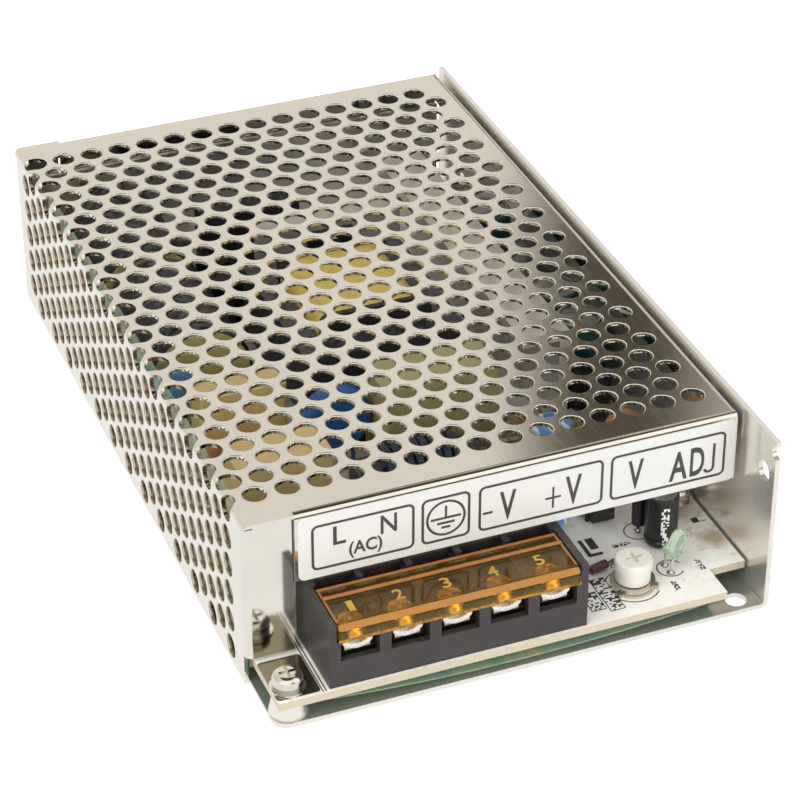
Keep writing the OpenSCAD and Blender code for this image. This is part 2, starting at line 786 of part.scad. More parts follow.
module line_capacitor_front() color("burlywood") in_case()
    at_share(0.1937, 0.329) box_part(line_box_front);
module line_capacitor_middle() color("khaki") in_case()
    at_share(line_middle_at[0], line_middle_at[1]) box_part(line_box_middle);
module line_capacitor_rear() color("khaki") in_case()
    at_share(0.2042, 0.4935) box_part(line_box_rear);

// Disc part standing on two leads, its flat faces to the front and rear.
module disc_part(d, t, lift) {
    translate([0, t / 2, lift + d / 2]) rotate([90, 0, 0]) rotate_extrude() {
        square([d / 2 - t / 3, t]);
        translate([0, t / 3]) square([d / 2, t / 3]);
        for (y = [t / 3, 2 * t / 3]) translate([d / 2 - t / 3, y]) circle(t / 3);
    }
    for (s = [-1, 1]) translate([s * d / 4, 0, 0]) cylinder(h = lift + d * 0.2, d = 0.8);
}

surge_d = 14;
surge_gap = 0.5;        // to the box capacitor beside it
thermistor_d = 11;
safety_d = 8;
safety_t = 3.2;

module surge_disc() color("royalblue") in_case()
    at_share(line_middle_at[0], 0.4129) translate([-(line_box_middle[0] + surge_d) / 2 - surge_gap, 0, 0])
        disc_part(surge_d, 4.4, 5);
module inrush_thermistor() color("black") in_case()
    at_share(0.12, 0.2387) rotate(90) disc_part(thermistor_d, 4.5, 4);
module safety_disc_capacitors() color("peru") in_case()
    for (p = [[0.12, 0.4129, 5], [0.2211, 0.4129, 5], [0.9147, 0.2839, 5], [0.0884, 0.5381, 10]])
        at_share(p[0], p[1]) disc_part(safety_d, safety_t, p[2]);

choke_at = [0.4779, 0.2645];     // shares of the board
choke_core = [26, 19, 7];
choke_leg = 5;
choke_r = 6.8;
choke_z = 7.6;          // height of the windings' axes above the board
choke_turns = 8;
turn_w = 1.9;

// Two-leg ferrite core of the mains filter, its legs along X.
module filter_choke_core() color("dimgray") in_case() at_share(choke_at[0], choke_at[1]) difference() {
    translate([-choke_core[0] / 2, -choke_core[1] / 2, choke_z - choke_core[2] / 2])
        cube(choke_core);
    translate([-choke_core[0] / 2 + choke_leg, -choke_core[1] / 2 + choke_leg, 0])
        cube([choke_core[0] - 2 * choke_leg, choke_core[1] - 2 * choke_leg, 20]);
}

module filter_choke_windings() color("midnightblue") in_case() at_share(choke_at[0], choke_at[1]) {
    leg_y = choke_core[1] / 2 - choke_leg / 2;
    wind_l = choke_turns * turn_w;
    for (s = [-1, 1]) translate([-wind_l / 2, s * leg_y, choke_z]) difference() {
        rotate([0, 90, 0]) rotate_extrude() {
            square([choke_r - turn_w / 2, wind_l]);
            for (k = [0 : choke_turns - 1])
                translate([choke_r - turn_w / 2, turn_w * (k + 0.5)]) circle(turn_w / 2);
        }
        translate([-1, -choke_leg / 2 - 0.2, -choke_core[2] / 2 - 0.2])
            cube([wind_l + 2, choke_leg + 0.4, choke_core[2] + 0.4]);
    }
    // four pins under a plastic foot
    for (s = [-1, 1], t = [-1, 1]) translate([s * 5, t * leg_y, 0]) cylinder(h = 1.6, d = 0.9);
}

// ---- Rectifier, reservoir capacitors and transformer ----

bridge_size = [22, 4.8, 15];
bridge_lift = 3;
bridge_pitch = 5;       // between its four leads

module bridge_rectifier() color("black") in_case() at_share(0.4568, 0.9032) {
    translate([-bridge_size[0] / 2, -bridge_size[1] / 2, bridge_lift]) cube(bridge_size);
    for (k = [-1.5 : 1.5]) translate([k * bridge_pitch, 0, 0]) cylinder(h = bridge_lift + 0.2, d = 1);
}

// Reservoir capacitors lie on their sides along the case, one behind the other.
lying_x_share = 0.1621;
lying_y_share = 0.5645;
lying_gap = 3.5;
lying_lead = 5;         // from the axis to each lead

module lying_can(y) {
    r = bulk_d / 2;
    x = across(lying_x_share);
    translate([x, y, board_top + 0.5 + r]) rotate([-90, 0, 0]) rotate_extrude() difference() {
        union() {
            square([r - 1, bulk_l]);
            translate([0, 1]) square([r, bulk_l - 2]);
            translate([r - 1, 1]) circle(1);
            translate([r - 1, bulk_l - 1]) circle(1);
        }
        translate([r + 0.5, 3.4]) circle(1.2);
        translate([-r, -1]) square([r, bulk_l + 2]);
    }
    // leads bent down into the board
    for (s = [-1, 1]) {
        translate([x + s * lying_lead, y - 1.8, board_top + 0.5 + r]) rotate([-90, 0, 0])
            cylinder(h = 2, d = 0.8);
        translate([x + s * lying_lead, y - 1.8, board_top]) cylinder(h = r + 0.9, d = 0.8);
    }
}

module input_capacitor_front() color("black") in_case() lying_can(along(lying_y_share));
module input_capacitor_rear() color("black") in_case()
    lying_can(along(lying_y_share) + bulk_l + lying_gap);

trafo_at = [0.52, 0.5935];     // shares of the board
core_l = 38;
core_edge = 5;          // outer legs, and how far the core lies inside the winding's height
core_mid = 11;          // middle leg
core_yoke = 6;
coil_l = core_l - 2 * core_yoke - 3;
tube_t = 1;             // bobbin wall round the middle leg
tube_w = core_mid + 0.4;
tube_h = core_h - 2 * core_edge + slip * 2;

module transformer_core() color("dimgray") in_case() at_share(trafo_at[0], trafo_at[1]) difference() {
    translate([-core_w / 2, -core_l / 2, core_edge]) cube([core_w, core_l, core_h - 2 * core_edge]);
    for (s = [-1, 1]) translate([s > 0 ? core_mid / 2 : core_edge - core_w / 2, core_yoke - core_l / 2, 0])
        cube([(core_w - core_mid) / 2 - core_edge, core_l - 2 * core_yoke, 40]);
}

module transformer_winding() color("gold") in_case() at_share(trafo_at[0], trafo_at[1])
    translate([0, 0, core_h / 2]) rotate([90, 0, 0]) translate([0, 0, -coil_l / 2])
        linear_extrude(coil_l) difference() {
            rounded([core_w - 2 * core_edge - 1, core_h - 1.4], 5);
            square([tube_w + 2 * tube_t + 0.4, tube_h + 2 * tube_t], center = true);
        }

module rounded(size, r) {
    square([size[0] - 2 * r, size[1]], center = true);
    square([size[0], size[1] - 2 * r], center = true);
    for (sx = [-1, 1], sy = [-1, 1])
        translate([sx * (size[0] / 2 - r), sy * (size[1] / 2 - r)]) circle(r);
}

module transformer_bobbin() color("black") in_case() at_share(trafo_at[0], trafo_at[1]) {
    flange_t = 1.2;
    pin_row = core_l / 2 + 1.5;
    for (s = [-1, 1]) translate([0, s * (coil_l / 2 + 0.7), core_h / 2]) rotate([90, 0, 0])
        translate([0, 0, -flange_t / 2]) linear_extrude(flange_t) difference() {
            rounded([core_w - 2 * core_edge - 0.6, core_h], 2);
            square([tube_w, tube_h], center = true);
        }
    // tube between the flanges
    translate([0, 0, core_h / 2]) rotate([90, 0, 0]) translate([0, 0, -coil_l / 2 - 0.2])
        linear_extrude(coil_l + 0.4) difference() {
            square([tube_w + 2 * tube_t, tube_h + 2 * tube_t], center = true);
            square([tube_w, tube_h], center = true);
        }
    // pin rows, each on an arm below the core
    for (s = [-1, 1]) {
        translate([-core_w / 2 + 3, s * pin_row - 2.5, 1]) cube([core_w - 6, 5, core_edge - 1.2]);
        translate([-core_w / 2 + 6, s > 0 ? coil_l / 2 + 0.3 : -core_l / 2, core_edge - 1.4])
            cube([core_w - 12, (core_l - coil_l) / 2 - 0.3, 1.2]);
    }
    for (s = [-1, 1], k = [-2 : 2])
        translate([5.5 * k, s * pin_row, 0]) cylinder(h = 1.2, d = 1);
}

// ---- Output side ----

// Upright plate with feet, which carries one power package.
module sink_plate(l, h, flange) {
    difference() {
        translate([-sink_t / 2, -l / 2, 0.4]) cube([sink_t, l, h]);
        for (y = [-l / 4, l / 4]) translate([-9, y - 2, -1]) cube([18, 4, 3]);
    }
    translate([-sink_t / 2, -l / 2, h + 0.4 - sink_t]) cube([flange, l, sink_t]);
    for (y = [-l / 2 + 2, l / 2 - 2]) translate([0, y, 0]) cylinder(h = 1, d = 1.6);
}

// Power package on three leads, its metal tab against the plate on its left.
package_w = 10;
package_h = 9;
package_down = 16;      // from the plate's top edge to the package's lower end
tab_t = 1.3;
tab_screw_down = 3.8;
pin_pitch = 2.54;

module power_package(h_top) {
    translate([0, -package_w / 2, h_top - package_down]) cube([4.4, package_w, package_h]);
    translate([0, -package_w / 2, h_top - package_down + package_h - 0.2])
        cube([tab_t, package_w, 6.6]);
    for (k = [-1 : 1]) translate([2.4, pin_pitch * k, 0])
        cylinder(h = h_top - package_down + 0.2, d = 0.9);
}

transistor_sink = [32, 20, 6];  // each plate's length, its height and the width of its top flange
rectifier_sink = [78, 24, 10];
transistor_at = [0.5832, 0.7935];
rectifier_at = [0.8463, 0.6258];

module transistor_heatsink() color("lightgray") in_case()
    at_share(transistor_at[0], transistor_at[1]) rotate(90)
        sink_plate(transistor_sink[0], transistor_sink[1], transistor_sink[2]);
module switching_transistor() color("black") in_case()
    at_share(transistor_at[0], transistor_at[1]) rotate(-90) translate([sink_t / 2, 0, 0])
        power_package(transistor_sink[1] - 1);
module rectifier_heatsink() color("lightgray") in_case()
    at_share(rectifier_at[0], rectifier_at[1]) mirror([1, 0, 0])
        sink_plate(rectifier_sink[0], rectifier_sink[1], rectifier_sink[2]);
module output_rectifier() color("black") in_case()
    at_share(rectifier_at[0], rectifier_at[1]) translate([sink_t / 2, 0, 0])
        power_package(rectifier_sink[1] - 2);

// Each package is held by one screw through its metal tab.
module semiconductor_screws() color("gainsboro") in_case() {
    seat = sink_t / 2 + tab_t;
    at_share(rectifier_at[0], rectifier_at[1])
        translate([seat, 0, rectifier_sink[1] - 2 - tab_screw_down]) rotate([0, 90, 0]) small_screw();
    at_share(transistor_at[0], transistor_at[1])
        translate([0, -seat, transistor_sink[1] - 1 - tab_screw_down]) rotate([90, 0, 0]) small_screw();
}

module small_screw() {
    difference() {
        cylinder(h = 1.8, d1 = 5, d2 = 4.4);
        cross_slot(3, 0.9, 1.8);
    }
}

output_can_x = 0.9263;  // shares of the board
output_can_ys = [0.4387, 0.5161, 0.7355];

module output_can(i) {
    at_share(output_can_x, output_can_ys[i]) can(output_can_d, output_can_h);
}

module output_capacitor_1() color("darkgreen") in_case() output_can(0);
module output_capacitor_2() color("darkgreen") in_case() output_can(1);
module output_capacitor_3() color("darkgreen") in_case() output_can(2);

// Output inductor: a ring core lying flat, wound with single turns.
inductor_at = [0.7516, 0.3032];  // shares of the board
ring_d = 18;
ring_bore = 9;
ring_h = 7;
ring_lift = 1.6;
turn_t = 1.2;           // wire of each turn
inductor_turns = 16;

module output_inductor_core() color("gold") in_case() at_share(inductor_at[0], inductor_at[1])
    translate([0, 0, ring_lift]) difference() {
        cylinder(h = ring_h, d = ring_d);
        translate([0, 0, -1]) cylinder(h = ring_h + 2, d = ring_bore);
    }

module output_inductor_winding() color("chocolate") in_case()
    at_share(inductor_at[0], inductor_at[1]) {
        in_r = ring_bore / 2 - 0.2;
        turn_l = (ring_d - ring_bore) / 2 + 0.4;
        low = ring_lift - turn_t;
        for (k = [0 : inductor_turns - 1]) rotate(12 + 20.5 * k) difference() {
            translate([in_r - 0.8, -turn_t / 2, low])
                cube([turn_l + 1.7, turn_t, ring_h + 2 * turn_t]);
            translate([in_r, -2, ring_lift - 0.1]) cube([turn_l, 4, ring_h + 0.2]);
        }
        // the turns lie against each other in the bore
        translate([0, 0, low]) difference() {
            cylinder(h = ring_h + 2 * turn_t, r = in_r);
            translate([0, 0, -1]) cylinder(h = ring_h + 5, r = in_r - 0.9);
        }
    }

// Flat package with a row of pins down each long side.
package_t = 3.4;
package_lift = 0.6;

module flat_package(l, w, pins) {
    translate([-l / 2, -w / 2, package_lift]) cube([l, w, package_t]);
    for (s = [-1, 1], k = [0 : pins - 1])
        translate([(k - (pins - 1) / 2) * pin_pitch - 0.3, s * (w / 2 + 0.2) - 0.3, 0])
            cube([0.6, 0.6, 2.4]);
}

module optocoupler() color("black") in_case() at_share(0.7937, 0.2) rotate(90) flat_package(6.4, 4.6, 2);
module control_chip() color("black") in_case() at_share(0.4568, 0.8297) flat_package(10, 6.4, 4);

// Small standing capacitors and axial resistors, at shares of the board.
small_can_d = 6.3;
small_can_h = 11;

module small_capacitors() color("navy") in_case() {
    at_share(0.6958, 0.2097) can(8, 22);
    at_share(0.6274, 0.1774) can(5, small_can_h);
    at_share(0.3411, 0.7768) can(8, 12);
    at_share(0.3411, 0.8387) can(8, 12);
    at_share(0.9095, 0.3742) can(8, 14);
}

module resistors() color("steelblue") in_case() {
    at_share(0.7242, 0.4903) rotate(90) axial(2.4, 6.5, 0.6, 11);
    at_share(0.6779, 0.8387) axial(3.6, 10, 0.7, 15);
    at_share(0.6779, 0.8839) axial(2.4, 6.5, 0.6, 11);
    at_share(0.9, 0.8387) rotate(90) axial(3.6, 10, 0.7, 15);
    at_share(0.6358, 0.1452) axial(2.4, 6.5, 0.6, 10);
}

chassis();
perforated_cover();
cover_screws();
insulating_sheet();
circuit_board();
board_screws();
board_spring_washers();
board_flat_washers();
terminal_block();
terminal_contacts();
clamp_plate(0);  // clamp_plate_1
clamp_plate(1);  // clamp_plate_2
clamp_plate(2);  // clamp_plate_3
clamp_plate(3);  // clamp_plate_4
clamp_plate(4);  // clamp_plate_5
terminal_screw(0);  // terminal_screw_1
terminal_screw(1);  // terminal_screw_2
terminal_screw(2);  // terminal_screw_3
terminal_screw(3);  // terminal_screw_4
terminal_screw(4);  // terminal_screw_5
terminal_cover();
adjuster_base();
adjuster_knob();
indicator_lamp();
indicator_leads();
front_capacitor();
sleeved_resistor();
glass_diode();
filter_choke_core();
filter_choke_windings();
line_capacitor_front();
line_capacitor_middle();
line_capacitor_rear();
surge_disc();
inrush_thermistor();
fuse_glass();
fuse_caps();
bridge_rectifier();
input_capacitor_front();
input_capacitor_rear();
transformer_core();
transformer_winding();
transformer_bobbin();
switching_transistor();
transistor_heatsink();
output_rectifier();
rectifier_heatsink();
semiconductor_screws();
output_capacitor_1();
output_capacitor_2();
output_capacitor_3();
output_inductor_core();
output_inductor_winding();
optocoupler();
control_chip();
safety_disc_capacitors();
small_capacitors();
resistors();
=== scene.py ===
"""Looks of the mesh case switching power supply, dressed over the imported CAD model.

Positions are written in millimetres from the bottom front left corner of the case (x to the right,
y to the back, z up) and brought into the model's frame by at().
"""

import math

import bmesh
import bpy
from mathutils import Matrix, Vector


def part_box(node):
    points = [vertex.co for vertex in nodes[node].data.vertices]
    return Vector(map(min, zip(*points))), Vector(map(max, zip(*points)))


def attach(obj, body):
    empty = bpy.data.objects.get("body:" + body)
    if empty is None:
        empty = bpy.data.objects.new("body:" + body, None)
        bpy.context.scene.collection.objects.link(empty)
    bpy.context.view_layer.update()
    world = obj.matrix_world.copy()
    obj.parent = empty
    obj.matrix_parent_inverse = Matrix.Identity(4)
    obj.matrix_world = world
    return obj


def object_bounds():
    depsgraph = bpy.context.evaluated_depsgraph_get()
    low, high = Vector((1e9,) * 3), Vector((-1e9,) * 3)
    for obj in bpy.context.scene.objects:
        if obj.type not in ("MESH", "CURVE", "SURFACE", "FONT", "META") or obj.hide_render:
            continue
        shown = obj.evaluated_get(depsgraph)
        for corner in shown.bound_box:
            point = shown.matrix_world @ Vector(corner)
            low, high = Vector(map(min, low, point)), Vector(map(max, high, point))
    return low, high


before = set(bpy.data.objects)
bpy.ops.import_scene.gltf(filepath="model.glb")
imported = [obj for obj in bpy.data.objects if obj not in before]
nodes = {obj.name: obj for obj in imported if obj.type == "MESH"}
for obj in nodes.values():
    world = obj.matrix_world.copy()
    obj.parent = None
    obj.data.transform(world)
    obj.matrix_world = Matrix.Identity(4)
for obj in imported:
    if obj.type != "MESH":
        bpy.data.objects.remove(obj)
cad_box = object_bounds()
MM = 0.001
CHANGE_OVER = 0.1 * MM  # width over which one finish gives way to the next

# ---- Places and sizes, in millimetres ----

CASE_LOW = Vector((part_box("perforated_cover")[0].x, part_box("chassis")[0].y, cad_box[0].z))
LIP_Y = (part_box("perforated_cover")[0].y - CASE_LOW.y) / MM
BOARD_TOP = (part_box("circuit_board")[1].z - CASE_LOW.z) / MM
CLEAR_TOP = (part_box("terminal_cover")[1].z - CASE_LOW.z) / MM

CAMERA_PLACE = (-173.8, -453.5, 330.9)
CAMERA_AIM = (8.4, 3.4, 5.1)
CAMERA_LENS = 130.9

# The punched pattern of the cover, on the sheet as it lies flat before it is folded
HOLE_R = 2.4
HOLE_PITCH = 6.1
ROW_PITCH = 5.18
ROWS = 26
FIRST_ROW = LIP_Y + 8.7
FIRST_COLUMN = 2.4
COVER_TOP = (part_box("perforated_cover")[1].z - CASE_LOW.z) / MM
COVER_RIGHT = (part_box("perforated_cover")[1].x - CASE_LOW.x) / MM
COVER_SHEET = 0.8
FOLD_R = 1.4
FOLD_LOSS = 0.95
SIDE_FOOT = 0.5
ROWS_END = LIP_Y + 142
EDGE_R = 0.18           # rounding of a punched hole's edge
TOP_COLUMNS = 17
SIDE_COLUMNS = 6

LABEL_X = (10.2, 95.5)
LABEL_Z = (21.6, 35.0)
FRAME_Z = (23.2, 32.9)
LABEL_THICK = 0.12
INK_THICK = 0.03
INK_LINE = 0.5

PLATE_TOP = CLEAR_TOP - 0.3
NOSE_R = 2.0
RIB_Y = 8.8
KNUCKLE_Y = 11.5
PIN_REACH = 0.9         # of a hinge pin past the cover's side
CLEAR_LEFT = (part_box("terminal_cover")[0].x - CASE_LOW.x) / MM + PIN_REACH
CLEAR_RIGHT = (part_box("terminal_cover")[1].x - CASE_LOW.x) / MM - PIN_REACH
NUMERALS = (17.2, 26.2, 35.2, 44.3, 53.3)
KNOB = (73.8, 8.3)
LAMP = (82.6, 10.4)


def at(x, y, z):
    """A place given from the case's corner in millimetres, in the model's frame."""
    return CASE_LOW + Vector((x, y, z)) * MM


# ---- Camera, floor and light ----


def add_object(name, data):
    made = bpy.data.objects.new(name, data)
    bpy.context.scene.collection.objects.link(made)
    return made


def look_at(thing, place, aim):
    thing.location = place
    thing.rotation_mode = "QUATERNION"
    thing.rotation_quaternion = (Vector(aim) - Vector(place)).to_track_quat("-Z", "Y")


def place_camera():
    data = bpy.data.cameras.new("studio_camera")
    data.lens = CAMERA_LENS
    data.sensor_width = 36.0
    data.clip_start = 0.01
    camera = add_object("studio_camera", data)
    look_at(camera, Vector(CAMERA_PLACE) * MM, Vector(CAMERA_AIM) * MM)
    bpy.context.scene.camera = camera


def area_light(name, place, size, power, colour=(1.0, 1.0, 1.0)):
    """A lamp that shines on the case and isn't mirrored in it."""
    data = bpy.data.lights.new(name, "AREA")
    data.shape = "RECTANGLE"
    data.size, data.size_y = size
    data.energy = power
    data.color = colour
    lamp = add_object(name, data)
    look_at(lamp, place, (0, 0, 0.02))
    lamp.visible_glossy = False
    lamp.visible_camera = False


class Nodes:
    """Short hand for building one node tree."""

    def __init__(self, tree):
        self.tree = tree

    def add(self, kind, values=None, **settings):
        node = self.tree.nodes.new(kind)
        for key, value in settings.items():
            setattr(node, key, value)
        for key, value in (values or {}).items():
            self.feed(value, node.inputs[key])
        return node

    def link(self, source, target):
        self.tree.links.new(source, target)

    def feed(self, value, target):
        """Joins an input to another node's output, or sets it to a plain value."""
        if isinstance(value, bpy.types.NodeSocket):
            self.link(value, target)
        else:
            target.default_value = rgba(value) if target.type == "RGBA" else value

    def math(self, operation, first, second=None):
        node = self.add("ShaderNodeMath", {0: first}, operation=operation)
        if second is not None:
            self.feed(second, node.inputs[1])
        return node.outputs[0]

    def product(self, first, *others):
        for value in others:
            first = self.math("MULTIPLY", first, value)
        return first

    def blend(self, factor, first, second):
        return self.add("ShaderNodeMix", {0: factor, 6: first, 7: second}, data_type="RGBA").outputs[2]

    def spread(self, value, low, high, from_low=0.0, from_high=1.0):
        """Brings a value from one range into another, and keeps it there."""
        ends = {"From Min": from_low, "From Max": from_high, "To Min": low, "To Max": high}
        return self.add("ShaderNodeMapRange", {"Value": value, **ends}).outputs[0]

    def above(self, value, low, high):
        """A mask that rises from 0 at the low value to 1 at the high one."""
        return self.spread(value, 0.0, 1.0, low, high)

    def below(self, value, low, high):
        """A mask that falls from 1 at the low value to 0 at the high one."""
        return self.spread(value, 1.0, 0.0, low, high)

    def split(self, source):
        """The x, y and z of a vector."""
        return self.add("ShaderNodeSeparateXYZ", {0: source}).outputs

    def place(self):
        """Where a point lies on the piece."""
        return self.add("ShaderNodeTexCoord").outputs["Object"]

    def normal(self):
        """Which way the surface looks."""
        return self.add("ShaderNodeNewGeometry").outputs["Normal"]

    def noise(self, place, scale, detail, roughness=0.5):
        values = {"Vector": place, "Scale": scale, "Detail": detail, "Roughness": roughness}
        return self.add("ShaderNodeTexNoise", values).outputs["Fac"]

    def mix_shaders(self, factor, first, second):
        return self.add("ShaderNodeMixShader", {0: factor, 1: first, 2: second}).outputs[0]


def fresh_nodes(owner):
    """The emptied node tree of a world or a material."""
    owner.use_nodes = True
    owner.node_tree.nodes.clear()
    return Nodes(owner.node_tree)


def rgba(colour):
    return tuple(colour) + (1.0,) if len(colour) == 3 else tuple(colour)


def set_view():
    bpy.context.scene.view_settings.view_transform = "Standard"


def light_studio():
    """White for the camera; for metal, pale walls with a dark strip, a dark roof and a dark sill."""
    world = bpy.data.worlds.new("studio")
    bpy.context.scene.world = world
    n = fresh_nodes(world)
    way = n.split(n.add("ShaderNodeTexCoord").outputs["Generated"])
    bearing = n.math("ARCTAN2", way["X"], way["Y"])
    rising = {}
    for name, low, high in (("strip", 24.0, 25.7), ("sill", 144, 152)):
        rising[name] = n.above(bearing, math.radians(low), math.radians(high))
    falling = {}
    for name, low, high in (("strip", 27.9, 30.0), ("side", 80, 110), ("sill", 166, 174)):
        falling[name] = n.below(bearing, math.radians(low), math.radians(high))
    strip = n.product(rising["strip"], falling["strip"])
    side = n.product(rising["strip"], falling["side"])
    front = n.below(way["Y"], -0.35, -0.15)
    roof = n.above(way["Z"], 0.875, 0.905)
    sill = n.product(n.below(way["Z"], 0.28, 0.40), n.product(rising["sill"], falling["sill"]))
    around = n.blend(side, (0.80, 0.765, 0.70), (0.50, 0.47, 0.41))
    around = n.blend(strip, around, (0.075, 0.062, 0.046))
    around = n.blend(front, around, (1.15, 1.12, 1.06))
    around = n.blend(roof, around, (0.07, 0.06, 0.045))
    around = n.blend(sill, around, (0.09, 0.08, 0.065))
    rays = n.add("ShaderNodeLightPath").outputs
    diffuse = n.blend(rays["Is Diffuse Ray"], around, (0.62, 0.62, 0.62))
    seen = n.blend(rays["Is Camera Ray"], diffuse, (1.0, 1.0, 1.0))
    shade = n.add("ShaderNodeBackground", {"Color": seen})
    n.add("ShaderNodeOutputWorld", {"Surface": shade.outputs[0]})

    area_light("left_window", (-0.75, -0.35, 0.75), (0.9, 0.9), 7.0, (1.0, 0.99, 0.97))
    area_light("front_fill", (0.25, -1.0, 0.45), (0.8, 0.5), 5.2)
    area_light("back_top", (0.1, 0.7, 0.9), (0.9, 0.7), 4.0)


def lay_floor():
    """Paper that is lit for the camera, plain in a mirror and matt for other light."""
    half = 6.0
    below = -0.0002
    mesh = bpy.data.meshes.new("floor")
    corners = [(x, y, below) for x, y in ((-half, -half), (half, -half), (half, half), (-half, half))]
    mesh.from_pydata(corners, [], [(0, 1, 2, 3)])
    floor = add_object("floor", mesh)
    paper = bpy.data.materials.new("floor_paper")
    n = fresh_nodes(paper)
    matt = n.add("ShaderNodeBsdfDiffuse", {"Color": (0.92, 0.92, 0.92)}).outputs[0]
    glow = n.add("ShaderNodeEmission", {"Color": (1.0, 1.0, 1.0), "Strength": 0.62}).outputs[0]
    lit = n.add("ShaderNodeAddShader", {0: matt, 1: glow}).outputs[0]
    plain = n.add("ShaderNodeEmission", {"Color": (0.98, 0.97, 0.95), "Strength": 0.96}).outputs[0]
    rays = n.add("ShaderNodeLightPath").outputs
    other = n.mix_shaders(rays["Is Glossy Ray"], matt, plain)
    shown = n.mix_shaders(rays["Is Camera Ray"], other, lit)
    n.add("ShaderNodeOutputMaterial", {"Surface": shown})
    mesh.materials.append(paper)


# ---- Shader groups shared by the materials ----


def shader_group(name, inputs, outputs):
    """A shader node group with named inputs, each set to a first value, and named outputs."""
    tree = bpy.data.node_groups.new(name, "ShaderNodeTree")
    for label, value in inputs.items():
        kind = "NodeSocketVector" if isinstance(value, tuple) else "NodeSocketFloat"
        tree.interface.new_socket(label, in_out="INPUT", socket_type=kind).default_value = value
    for label in outputs:
        tree.interface.new_socket(label, in_out="OUTPUT", socket_type="NodeSocketFloat")
    n = Nodes(tree)
    return tree, n, n.add("NodeGroupInput").outputs, n.add("NodeGroupOutput").inputs


def make_surface_grain():
    """Fine grain and soft mottling of a surface, each from 0 to 1, and a height for a bump."""
    inputs = {"Grain per mm": 3.0, "Mottle per mm": 0.08, "Stretch": (1.0, 1.0, 1.0)}
    tree, n, take, give = shader_group("surface_grain", inputs, ("Grain", "Mottle", "Height"))
    pull = n.add("ShaderNodeVectorMath", {0: n.place(), 1: take["Stretch"]}, operation="MULTIPLY")
    for out in ("Grain", "Mottle"):
        scale = n.product(take[out + " per mm"], 1000.0)
        noise = n.noise(pull.outputs[0], scale, 3.0, 0.6)
        n.link(n.above(noise, 0.28, 0.72), give[out])
        if out == "Grain":
            n.link(noise, give["Height"])
    return tree


def make_handling_marks():
    """Faint scratches and smudges: a mask that is 1 on a mark."""
    inputs = {"Scratches per mm": 0.5, "Amount": 0.5}
    tree, n, take, give = shader_group("handling_marks", inputs, ("Marks",))
    place = n.place()
    masks = []
    for turn, pull in ((0.5, (30.0, 1.0, 1.0)), (-0.9, (1.0, 26.0, 1.0))):
        values = {"Vector": place, "Rotation": (turn * 0.4, 0.2, turn), "Scale": pull}
        lay = n.add("ShaderNodeMapping", values)
        noise = n.noise(lay.outputs[0], n.product(take["Scratches per mm"], 100.0), 2.0)
        masks.append(n.above(noise, 0.66, 0.72))
    n.link(n.product(n.math("MAXIMUM", *masks), take["Amount"]), give["Marks"])
    return tree


def make_settled_dust():
    """Dust on faces that look up: a mask from 0 to 1."""
    tree, n, take, give = shader_group("settled_dust", {"Amount": 0.3}, ("Dust",))
    up = n.above(n.split(n.normal())["Z"], 0.3, 0.95)
    patch = n.above(n.noise(n.place(), 900.0, 4.0), 0.42, 0.68)
    n.link(n.product(up, patch, take["Amount"]), give["Dust"])
    return tree


GRAIN = make_surface_grain()
MARKS = make_handling_marks()
DUST = make_settled_dust()


class Finish:
    """A material whose colour, roughness and relief vary over the surface."""

    def __init__(self, name, colour, roughness, **sockets):
        self.material = bpy.data.materials.new(name)
        self.n = fresh_nodes(self.material)
        self.shader = self.n.add("ShaderNodeBsdfPrincipled")
        self.n.add("ShaderNodeOutputMaterial", {"Surface": self.shader.outputs[0]})
        for key, value in sockets.items():
            self.shader.inputs[key.replace("_", " ")].default_value = value
        self.colour = colour
        self.roughness = roughness

    def grained(self, fine, coarse, tint, tint_share, spread, relief, stretch=(1, 1, 1)):
        """Mottled colour, uneven gloss and a fine relief. relief is in millimetres."""
        n = self.n
        values = {"Grain per mm": fine, "Mottle per mm": coarse, "Stretch": stretch}
        grain = n.add("ShaderNodeGroup", node_tree=GRAIN)
        for key, value in values.items():
            grain.inputs[key].default_value = value
        self.colour = n.blend(n.product(grain.outputs["Mottle"], tint_share), self.colour, tint)
        ends = (self.roughness - spread, self.roughness + spread)
        self.roughness = n.spread(grain.outputs["Grain"], *ends)
        values = {"Height": grain.outputs["Height"], "Distance": relief * MM, "Strength": 1.0}
        n.link(n.add("ShaderNodeBump", values).outputs[0], self.shader.inputs["Normal"])

    def masked(self, group, out, colour, **values):
        """Another colour where a group's mask is 1."""
        node = self.n.add("ShaderNodeGroup", node_tree=group)
        for key, value in values.items():
            node.inputs[key.replace("_", " ")].default_value = value
        self.colour = self.n.blend(node.outputs[out], self.colour, colour)

    def marked(self, per_mm, amount, colour):
        self.masked(MARKS, "Marks", colour, Scratches_per_mm=per_mm, Amount=amount)

    def dusty(self, amount):
        self.masked(DUST, "Dust", (0.55, 0.53, 0.50), Amount=amount)

    def facing(self, axis, colour, low=0.6, high=0.8):
        """Another colour on the faces that look along an axis: Z, -Y, or |Y for both ways."""
        n = self.n
        value = n.split(n.normal())[axis[-1]]
        if axis.startswith("-"):
            value = n.product(value, -1.0)
        if axis.startswith("|"):
            value = n.math("ABSOLUTE", value)
        mask = n.above(value, low, high)
        self.colour = n.blend(mask, self.colour, colour)
        return mask

    def done(self):
        self.n.feed(self.colour, self.shader.inputs["Base Color"])
        self.n.feed(self.roughness, self.shader.inputs["Roughness"])
        return self.material


def tinted(colour, share):
    return tuple(c * share for c in colour)


def lightened(colour, share):
    return tuple(min(1.0, c * share + 0.01) for c in colour)


def plated_sheet(name, colour, roughness):
    """Bright plated edge with handling marks."""
    f = Finish(name, colour, roughness, Metallic=1.0)
    f.grained(1.4, 0.035, tinted(colour, 0.90), 0.7, roughness * 0.25, 0.0010, (1.0, 1.0, 1.0))
    f.marked(0.35, 0.22, tinted(colour, 0.80))
    return f.done()


